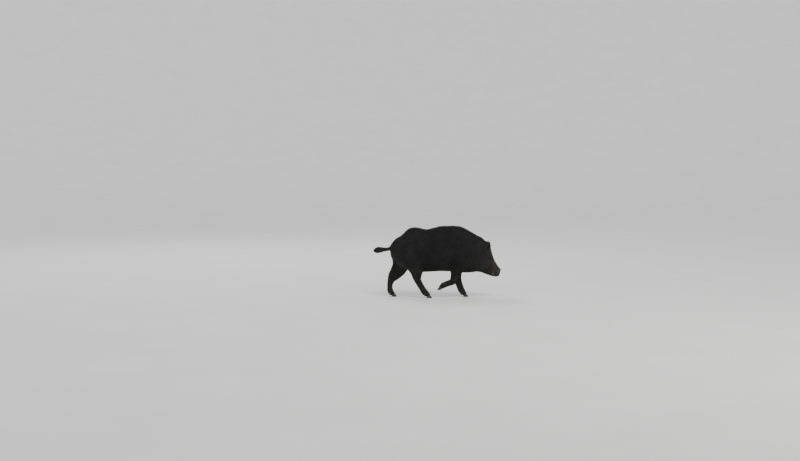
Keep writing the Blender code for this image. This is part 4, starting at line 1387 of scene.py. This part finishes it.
def make_bristles(material):
    """Whiskers on muzzle and chin, a few over the eyes, and the lashes."""
    roots, aims, sizes = [], [], []
    for side in (1, -1):
        for k in range(34):
            s = -0.150 + 0.120 * RNG.random()
            h = -0.060 + 0.075 * RNG.random()
            roots.append(head_at(s, side * 0.09, h))
            aims.append(-0.75 * E1 + side * 0.85 * E2 - 0.35 * E3)
            sizes.append((0.014 + 0.020 * RNG.random(), 0.00062))
        for k in range(16):
            s = -0.120 + 0.085 * RNG.random()
            roots.append(head_at(s, side * 0.030 * RNG.random(), -0.14))
            aims.append(-0.9 * E1 - 0.9 * E3 + side * 0.15 * E2)
            sizes.append((0.012 + 0.014 * RNG.random(), 0.00062))
        for k in range(8):
            s = -0.212 + 0.040 * RNG.random()
            roots.append(head_at(s, side * (0.050 + 0.010 * RNG.random()),
                                 0.13))
            aims.append(-0.6 * E1 + 0.55 * E3 + side * 0.5 * E2)
            sizes.append((0.015 + 0.014 * RNG.random(), 0.00062))
    V = np.array(roots)
    centre = head_at(0.0, 0.0, 0.0)
    for _ in range(26):
        d, g = value_and_gradient(skin_field, V)
        V = V - np.clip(d / np.maximum((g * g).sum(1), 0.3),
                        -0.012, 0.012)[:, None] * g
    _, g = value_and_gradient(skin_field, V)
    roots, normals = list(V), list(unit(g))
    for side in (1, -1):
        out, fwd, up = eye_axes(side)
        ru = (LID_HALF ** 2 + LID_RISE ** 2) / (2 * LID_RISE)
        for k in range(26):
            a = LID_HALF * (-0.86 + 1.66 * (k + 0.5 * RNG.random()) / 26)
            b = math.sqrt(max(ru ** 2 - a * a, 0)) + LID_RISE - ru + 0.0006
            o = math.sqrt(max((EYE_RADIUS + 0.0019) ** 2 - a * a - b * b, 0))
            roots.append(EYE_AT[side] + a * fwd + b * up + o * out)
            normals.append(unit((a * fwd + b * up + o * out)[None])[0])
            aims.append(0.75 * out + 0.55 * up - 0.10 * fwd
                        + 0.10 * RNG.normal(size=3))
            sizes.append((0.0075 + 0.0035 * RNG.random(), 0.00050))
    P, N, D = np.array(roots), np.array(normals), unit(np.array(aims))
    L, W = np.array(sizes).T
    sag = D - N * 0.55
    style = ((0.0, 1.0), (0.45, 0.85), (0.8, 0.5), (1.0, 0.0))
    centres, flow = [P - N * 0.0008], []
    last = 0.0
    for u, _ in style[1:]:
        d = unit(D * (1 - 0.5 * u) + sag * 0.5 * u)
        flow.append(d)
        centres.append(centres[-1] + d * (L * (u - last))[:, None])
        last = u
    flow.append(flow[-1])
    R = regions(P)
    base = markings_and_shade(P, R) * 0.6 + 0.004
    rand = RNG.random(len(P))

    def colour(along, rand):
        return base[:, None, :] * (0.8 + 0.9 * along)[:, :, None]
    uv = spread(P[:, 2] + 0.4 * (P[:, 1] > 0), P[:, 0])
    ob = tuft_mesh("coat_bristle_1", centres, flow, [N] * len(style), W,
                   style, colour, uv, rand)
    ob.data.materials.append(material)
    return ob


# ------------------------------------------------------------- hard pieces
def loft(name, rings, cap=True):
    n = len(rings[0])
    V = [tuple(p) for ring in rings for p in ring]
    F = []
    for i in range(len(rings) - 1):
        for j in range(n):
            k = (j + 1) % n
            F.append((i * n + j, i * n + k, (i + 1) * n + k, (i + 1) * n + j))
    for ring, start in ((rings[0], 0), (rings[-1], (len(rings) - 1) * n)):
        c = len(V)
        V.append(tuple(np.mean(np.array(ring), axis=0)))
        F += [(c, start + j, start + (j + 1) % n) for j in range(n)]
    ob = fix_normals(new_mesh(name, np.array(V) + SHIFT, F))
    smooth_shade(ob.data)
    return ob


def signed(v, p):
    return math.copysign(abs(v) ** p, v)


def make_hoof(name, foot, pitch, side):
    """A pointed cloven half: ridged wall, flat sole, worn tip."""
    L, H, W = HOOF_LENGTH, HOOF_HEIGHT, HOOF_WIDTH
    rows = np.array(((-0.44, 0.50, 0.62), (-0.41, 0.70, 0.86),
                     (-0.30, 0.88, 0.98), (-0.15, 0.98, 1.03),
                     (0.0, 1.0, 1.00), (0.12, 0.98, 0.93),
                     (0.26, 0.86, 0.78), (0.38, 0.68, 0.58),
                     (0.48, 0.44, 0.38), (0.535, 0.24, 0.22),
                     (0.55, 0.10, 0.10)))
    q = np.linspace(rows[0, 0], rows[-1, 0], 26)
    prof = curve(rows[:, 0], rows[:, 1:], q)
    cp, sp = math.cos(pitch), math.sin(pitch)
    turn = math.radians(5.0) * side
    rings = []
    for t, (wide, high) in zip(q, prof):
        ring = []
        wide = wide * (1 + 0.012 * math.sin(t * 90))
        for a in range(28):
            ang = 2 * math.pi * (a + 0.5) / 28
            c, s = math.cos(ang), math.sin(ang)
            y = 0.5 * W * wide * signed(c, 0.75)
            z = 0.5 * H * high * (1 + signed(s, 0.8))
            if s > 0:
                y *= 1 - 0.20 * s
            z = max(0.0, z * 1.06 - 0.0020)
            if side * c < 0:
                y *= 0.93
            x = t * L
            y += side * (W * 0.5 + 0.0012)
            x, y = (x * math.cos(turn) - y * math.sin(turn),
                    x * math.sin(turn) + y * math.cos(turn))
            ring.append((foot[0] + x * cp + z * sp, foot[1] + y,
                         foot[2] - x * sp + z * cp))
        rings.append(ring)
    return loft(name, rings)


def make_dewclaw(name, foot, spring, hang, side):
    rings = []
    for i in range(12):
        t = -0.25 + 1.25 * i / 11
        r = 0.0090 * (1 - 0.10 * t) * math.sqrt(max(0.0, 1 - max(0, t) ** 4)) \
            + 0.0006
        ring = []
        for a in range(18):
            ang = 2 * math.pi * a / 18
            u, v = r * math.cos(ang), r * 0.92 * math.sin(ang)
            along = t * DEWCLAW_LENGTH
            bend = 0.003 * t * t
            ring.append((foot[0] + spring[0] + along * hang[0]
                         - (v + bend) * hang[1],
                         foot[1] + side * (0.019 + 0.005 * t) + u,
                         foot[2] + spring[1] + along * hang[1]
                         + (v + bend) * hang[0]))
        rings.append(ring)
    return loft(name, rings)


def make_tusk(name, side):
    """A lower tusk: three-sided, curling up, out and back."""
    rings = []
    for i in range(26):
        t = max(0.0, (i - 4) / 21)
        sunk = 0.0028 * max(0, 4 - i)
        c = head_at(-0.056 - 0.018 * t * t,
                    side * (0.0385 - sunk + 0.025 * math.sin(1.35 * t)),
                    -0.064 + 0.25 * sunk + 0.043 * t - 0.002 * t ** 3)
        r = 0.0058 * (1 - t) ** 0.55 + 0.0005
        ring = []
        for k in range(18):
            b = 2 * math.pi * k / 18
            rr = r * (1 + 0.10 * math.cos(3 * b))
            ring.append(c + rr * math.cos(b) * E1
                        + rr * math.sin(b) * (E2 * 0.95 - E3 * 0.3 * side))
        rings.append(ring)
    return loft(name, rings)


def make_eye(name, side):
    """An eyeball with a bulging cornea, its front along local Z."""
    out, fwd, up = eye_axes(side)
    V, F = [], []
    rows, cols = 40, 48
    for i in range(rows + 1):
        a = math.pi * i / rows
        for j in range(cols):
            b = 2 * math.pi * j / cols
            r = EYE_RADIUS
            x, y, z = (r * math.sin(a) * math.cos(b),
                       r * math.sin(a) * math.sin(b), r * math.cos(a))
            if z > 0:
                z += 0.0011 * math.exp(-((x * x + y * y) / 0.0062 ** 2) ** 1.5)
            V.append((x, y, z))
    for i in range(rows):
        for j in range(cols):
            k = (j + 1) % cols
            F.append((i * cols + j, (i + 1) * cols + j,
                      (i + 1) * cols + k, i * cols + k))
    ob = new_mesh(name, V, F)
    bm = bmesh.new()
    bm.from_mesh(ob.data)
    bmesh.ops.remove_doubles(bm, verts=bm.verts, dist=1e-5)
    bmesh.ops.recalc_face_normals(bm, faces=bm.faces)
    bm.to_mesh(ob.data)
    bm.free()
    smooth_shade(ob.data)
    local = get_verts(ob.data)
    at = ob.data.attributes.new("gaze", 'FLOAT_VECTOR', 'POINT')
    at.data.foreach_set("vector", local.astype(np.float32).ravel())
    across = np.cross(up, out)
    set_verts(ob.data, EYE_AT[side] + SHIFT + local[:, :1] * across
              + local[:, 1:2] * up + local[:, 2:] * out)
    return ob


# --------------------------------------------------------------- materials
class Shader:
    """Small helper for node materials."""

    def __init__(self, name, roughness=0.6, specular=0.5):
        self.m = bpy.data.materials.new(name)
        self.m.use_nodes = True
        self.t = self.m.node_tree
        self.b = self.t.nodes["Principled BSDF"]
        self.b.inputs["Roughness"].default_value = roughness
        self.b.inputs["Specular IOR Level"].default_value = specular

    def node(self, kind, **values):
        n = self.t.nodes.new(kind)
        for k, v in values.items():
            if hasattr(n, k):
                setattr(n, k, v)
            else:
                n.inputs[k.replace("_", " ")].default_value = v
        return n

    def link(self, a, b):
        self.t.links.new(a, b)

    def attribute(self, name):
        n = self.t.nodes.new("ShaderNodeAttribute")
        n.attribute_name = name
        return n

    def noise(self, vector, scale, detail=3.0, rough=0.5):
        n = self.t.nodes.new("ShaderNodeTexNoise")
        n.inputs["Scale"].default_value = scale
        n.inputs["Detail"].default_value = detail
        n.inputs["Roughness"].default_value = rough
        self.link(vector, n.inputs["Vector"])
        return n.outputs["Fac"]

    def coords(self):
        return self.t.nodes.new("ShaderNodeTexCoord").outputs["Object"]

    def stretch(self, vector, scale):
        n = self.t.nodes.new("ShaderNodeMapping")
        n.inputs["Scale"].default_value = scale
        self.link(vector, n.inputs["Vector"])
        return n.outputs["Vector"]

    def ranged(self, value, lo, hi, out_lo, out_hi):
        n = self.t.nodes.new("ShaderNodeMapRange")
        n.inputs["From Min"].default_value = lo
        n.inputs["From Max"].default_value = hi
        n.inputs["To Min"].default_value = out_lo
        n.inputs["To Max"].default_value = out_hi
        self.link(value, n.inputs["Value"])
        return n.outputs["Result"]

    def ramp(self, value, stops):
        n = self.t.nodes.new("ShaderNodeValToRGB")
        e = n.color_ramp.elements
        while len(e) < len(stops):
            e.new(0.5)
        for el, (pos, c) in zip(e, stops):
            el.position = pos
            el.color = (*c, 1.0)
        self.link(value, n.inputs["Fac"])
        return n.outputs["Color"]

    def times(self, colour, factor):
        n = self.t.nodes.new("ShaderNodeVectorMath")
        n.operation = 'SCALE'
        self.link(colour, n.inputs[0])
        self.link(factor, n.inputs["Scale"])
        return n.outputs["Vector"]

    def mixed(self, factor, a, b):
        n = self.t.nodes.new("ShaderNodeMix")
        n.data_type = 'RGBA'
        self.link(factor, n.inputs["Factor"])
        for value, socket in ((a, n.inputs[6]), (b, n.inputs[7])):
            if isinstance(value, tuple):
                socket.default_value = (*value, 1.0)
            else:
                self.link(value, socket)
        return n.outputs[2]

    def sum(self, a, b, kb=1.0):
        n = self.t.nodes.new("ShaderNodeMath")
        n.operation = 'MULTIPLY_ADD'
        self.link(b, n.inputs[0])
        n.inputs[1].default_value = kb
        self.link(a, n.inputs[2])
        return n.outputs[0]

    def bump(self, height, strength, distance):
        n = self.t.nodes.new("ShaderNodeBump")
        n.inputs["Strength"].default_value = strength
        n.inputs["Distance"].default_value = distance
        self.link(height, n.inputs["Height"])
        self.link(n.outputs["Normal"], self.b.inputs["Normal"])

    def colour(self, socket):
        self.link(socket, self.b.inputs["Base Color"])

    def rough(self, socket):
        self.link(socket, self.b.inputs["Roughness"])


def hair_material():
    s = Shader("boar_hair", 0.55, 0.35)
    tint = s.attribute("tint").outputs["Color"]
    strand = s.attribute("strand").outputs["Vector"]
    lines = s.noise(s.stretch(strand, (2.6, 0.7, 1.0)), 2.2, 2.0, 0.6)
    patch = s.noise(s.coords(), 9.0, 3.0, 0.55)
    k = s.ranged(lines, 0.25, 0.75, 0.62, 1.45)
    s.colour(s.times(s.times(tint, k), s.ranged(patch, 0.3, 0.7, 0.82, 1.2)))
    s.rough(s.ranged(lines, 0.2, 0.8, 0.46, 0.68))
    s.bump(lines, 0.5, 0.0006)
    return s.m


def skin_material():
    """Short hair as bump over the whole skin, bare hide on the disc."""
    s = Shader("boar_hide", 0.62, 0.35)
    tint = s.attribute("tint").outputs["Color"]
    lay = s.attribute("lay").outputs["Vector"]
    bare = s.attribute("bare").outputs["Fac"]
    co = s.coords()
    hair = s.noise(lay, 1.0, 2.0, 0.6)
    pores = s.t.nodes.new("ShaderNodeTexVoronoi")
    pores.inputs["Scale"].default_value = 620.0
    s.link(co, pores.inputs["Vector"])
    mottled = s.noise(co, 55.0, 4.0, 0.6)
    broad = s.noise(co, 9.0, 3.0, 0.55)
    furry = s.times(s.times(tint, s.ranged(hair, 0.25, 0.75, 0.55, 1.35)),
                    s.ranged(broad, 0.3, 0.7, 0.82, 1.2))
    hide = s.times(tint, s.ranged(mottled, 0.3, 0.7, 0.72, 1.35))
    s.colour(s.mixed(bare, furry, hide))
    s.rough(s.ranged(bare, 0.0, 1.0, 0.66, 0.50))
    grain = s.t.nodes.new("ShaderNodeMix")
    s.link(bare, grain.inputs["Factor"])
    s.link(hair, grain.inputs[2])
    s.link(s.sum(pores.outputs["Distance"], mottled, 0.6), grain.inputs[3])
    s.bump(grain.outputs[0], 0.62, 0.0007)
    return s.m


def horn_material():
    s = Shader("horn", 0.5, 0.4)
    co = s.coords()
    ridges = s.noise(s.stretch(co, (26.0, 26.0, 190.0)), 1.0, 3.0, 0.5)
    cloud = s.noise(co, 34.0, 4.0, 0.6)
    tint = s.ramp(s.sum(cloud, ridges, 0.35),
                  ((0.35, (0.010, 0.0088, 0.0076)),
                   (0.65, (0.021, 0.0178, 0.0145)),
                   (0.95, (0.044, 0.036, 0.028))))
    s.colour(tint)
    s.rough(s.ranged(cloud, 0.2, 0.8, 0.40, 0.62))
    s.bump(ridges, 0.5, 0.0010)
    return s.m


def ivory_material():
    s = Shader("tusk_ivory", 0.34, 0.5)
    co = s.coords()
    grain = s.noise(s.stretch(co, (140.0, 140.0, 40.0)), 1.0, 3.0, 0.5)
    stain = s.noise(co, 60.0, 3.0, 0.6)
    s.colour(s.ramp(s.sum(stain, grain, 0.3),
                    ((0.35, (0.050, 0.036, 0.022)), (0.60, (0.120, 0.098, 0.067)),
                     (0.85, (0.175, 0.150, 0.112)))))
    s.rough(s.ranged(grain, 0.2, 0.8, 0.28, 0.44))
    s.bump(grain, 0.25, 0.0004)
    return s.m


def eye_material():
    s = Shader("boar_eye", 0.08, 0.22)
    co = s.attribute("gaze").outputs["Vector"]
    flat = s.stretch(co, (1.0, 1.0, 0.0))
    length = s.t.nodes.new("ShaderNodeVectorMath")
    length.operation = 'LENGTH'
    s.link(flat, length.inputs[0])
    fibres = s.noise(s.stretch(co, (900.0, 900.0, 60.0)), 1.0, 3.0, 0.6)
    r = s.sum(s.ranged(length.outputs["Value"], 0.0, 0.0125, -0.025, 0.975),
              fibres, 0.05)
    s.colour(s.ramp(r, ((0.0, (0.0015, 0.0012, 0.0010)),
                        (0.30, (0.0020, 0.0016, 0.0013)),
                        (0.36, (0.010, 0.0055, 0.0032)),
                        (0.54, (0.022, 0.012, 0.0065)),
                        (0.64, (0.007, 0.0045, 0.0034)),
                        (0.74, (0.060, 0.042, 0.034)),
                        (1.0, (0.16, 0.12, 0.10)))))
    return s.m


def dress_skin(skin, mat):
    me = skin.data
    P = get_verts(me)
    N = np.empty(len(P) * 3, np.float32)
    me.vertices.foreach_get("normal", N)
    N = N.reshape(-1, 3).astype(float)
    R = regions(P)
    tint = np.ones((len(P), 4), np.float32)
    c = markings_and_shade(P, R)
    bare = np.clip(R["disc"] * 1.2, 0, 1)
    lids = np.zeros(len(P))
    for side in EYE_AT:
        a, b, o = eye_coords(P, side)
        near = (np.sqrt(a * a + b * b + o * o) < 0.03) & (o > 0)
        lids = np.maximum(lids, near * step(0.0030, 0.0008,
                                            lid_opening(a, b)))
    s, y, h = R["s"], P[:, 1], R["h"]
    # painted shade: inner marks the inside of each nostril, darkened below to near
    # black
    inner = (s > -0.02) * step(1.10, 0.80, nostril(y, h))
    lips = (mouth_distance(s, h) < 0.0042) & (s > -0.165) & (s < 0.012) \
        & (h < 0) & (np.abs(y) < 0.07)
    bare = np.maximum(np.maximum(bare, lids), lips * 0.9)
    c = c * (1 - 0.80 * inner)[:, None] * (1 - 0.35 * lids)[:, None] \
        * (1 - 0.55 * lips)[:, None]
    tint[:, :3] = c * (0.62 + 0.38 * bare)[:, None]
    at = me.attributes.new("tint", 'FLOAT_COLOR', 'POINT')
    at.data.foreach_set("color", tint.ravel())
    at = me.attributes.new("bare", 'FLOAT', 'POINT')
    at.data.foreach_set("value", bare.astype(np.float32))
    T = lie(P, R)
    T = unit(T - N * (T * N).sum(1)[:, None])
    S = np.cross(N, T)
    k = np.stack(((P * S).sum(1) * 900.0, (P * T).sum(1) * 110.0,
                  (P * N).sum(1) * 60.0), 1)
    at = me.attributes.new("lay", 'FLOAT_VECTOR', 'POINT')
    at.data.foreach_set("vector", k.astype(np.float32).ravel())
    me.materials.append(mat)


# ------------------------------------------------------------------- build
skin = make_skin()
hair = hair_material()
coat = make_coat(skin, hair)
coat.append(make_bristles(hair))
dress_skin(skin, skin_material())
set_verts(skin.data, get_verts(skin.data) + SHIFT)
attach(skin, "root")
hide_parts("head", "lower_jaw", "neck", "trunk", "tail",
            "leg_front_left", "leg_front_right", "leg_hind_left",
            "leg_hind_right", "ear_left", "ear_right")
for ob in coat:
    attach(ob, "root")

horn, ivory, wet = horn_material(), ivory_material(), eye_material()
for foot, (point, pitch, spring, hang) in FEET.items():
    for side, word in ((1, "l"), (-1, "r")):
        ob = make_hoof("horn_%s_%s" % (foot, word), point, pitch, side)
        ob.data.materials.append(horn)
        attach(ob, "root")
        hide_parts("hoof_%s_%s" % (foot, word))
        ob = make_dewclaw("spur_%s_%s" % (foot, word), point, spring, hang,
                          side)
        ob.data.materials.append(horn)
        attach(ob, "root")
for side, word in ((1, "left"), (-1, "right")):
    ob = make_tusk("ivory_" + word, side)
    ob.data.materials.append(ivory)
    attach(ob, "root")
    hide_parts("tusk_" + word)
    ob = make_eye("eyeball_" + word, side)
    ob.data.materials.append(wet)
    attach(ob, "root")
    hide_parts("eye_" + word)

# ------------------------------------------------------------------- stage
def make_stage():
    """A pale floor that turns up into a backdrop far off on every side."""
    prof = [(r, 0.0) for r in (0.0, 4.0, 10.0, 16.0, 22.0)]
    prof += [(22.0 + 26.0 * k / 16, 10.0 * (k / 16) ** 2)
             for k in range(1, 17)]
    V, F, n = [(0.0, 0.0, 0.0)], [], 72
    for r, z in prof[1:]:
        for j in range(n):
            b = 2 * math.pi * j / n
            V.append((r * math.cos(b), r * math.sin(b), z))
    for j in range(n):
        F.append((0, 1 + j, 1 + (j + 1) % n))
    for i in range(len(prof) - 2):
        a = 1 + i * n
        for j in range(n):
            k = (j + 1) % n
            F.append((a + j, a + n + j, a + n + k, a + k))
    ob = fix_normals(new_mesh("floor", V, F))
    smooth_shade(ob.data)
    s = Shader("floor_pale", 0.85, 0.2)
    grain = s.noise(s.coords(), 1.2, 5.0, 0.6)
    s.colour(s.ramp(grain, ((0.3, (0.60, 0.59, 0.57)),
                            (0.7, (0.64, 0.63, 0.61)))))
    ob.data.materials.append(s.m)
    return ob


def area_light(name, place, aim, size, power, tint):
    data = bpy.data.lights.new(name, 'AREA')
    data.shape, data.size, data.energy, data.color = 'DISK', size, power, tint
    ob = bpy.data.objects.new(name, data)
    ob.location = place
    ob.rotation_euler = (Vector(aim) - Vector(place)).to_track_quat(
        '-Z', 'Y').to_euler()
    bpy.context.scene.collection.objects.link(ob)
    return ob


make_stage()
area_light("back", (-4.0, 6.5, 7.5), (0, 0, 0.4), 5.0, 420.0,
           (0.96, 0.98, 1.0))
area_light("front", (5.0, -6.0, 4.5), (0, 0, 0.4), 4.0, 260.0,
           (1.0, 0.98, 0.96))
sun = bpy.data.objects.new("key", bpy.data.lights.new("key", 'SUN'))
sun.data.energy = 1.5
sun.data.angle = math.radians(28.0)
sun.rotation_euler = (math.radians(34.0), math.radians(16.0), 0.0)
bpy.context.scene.collection.objects.link(sun)
world = bpy.data.worlds.new("studio")
bpy.context.scene.world = world
world.use_nodes = True
world.node_tree.nodes["Background"].inputs["Color"].default_value = (
    0.93, 0.96, 1.0, 1.0)
world.node_tree.nodes["Background"].inputs["Strength"].default_value = 1.0

camera = bpy.data.objects.new("camera", bpy.data.cameras.new("camera"))
camera.data.lens = 54.15
camera.data.sensor_width = 36.0
camera.data.clip_end = 200.0
camera.location = (-0.431, -13.8, 1.6)
camera.rotation_euler = (math.radians(86.551), 0.0, 0.0)
bpy.context.scene.collection.objects.link(camera)
bpy.context.scene.camera = camera
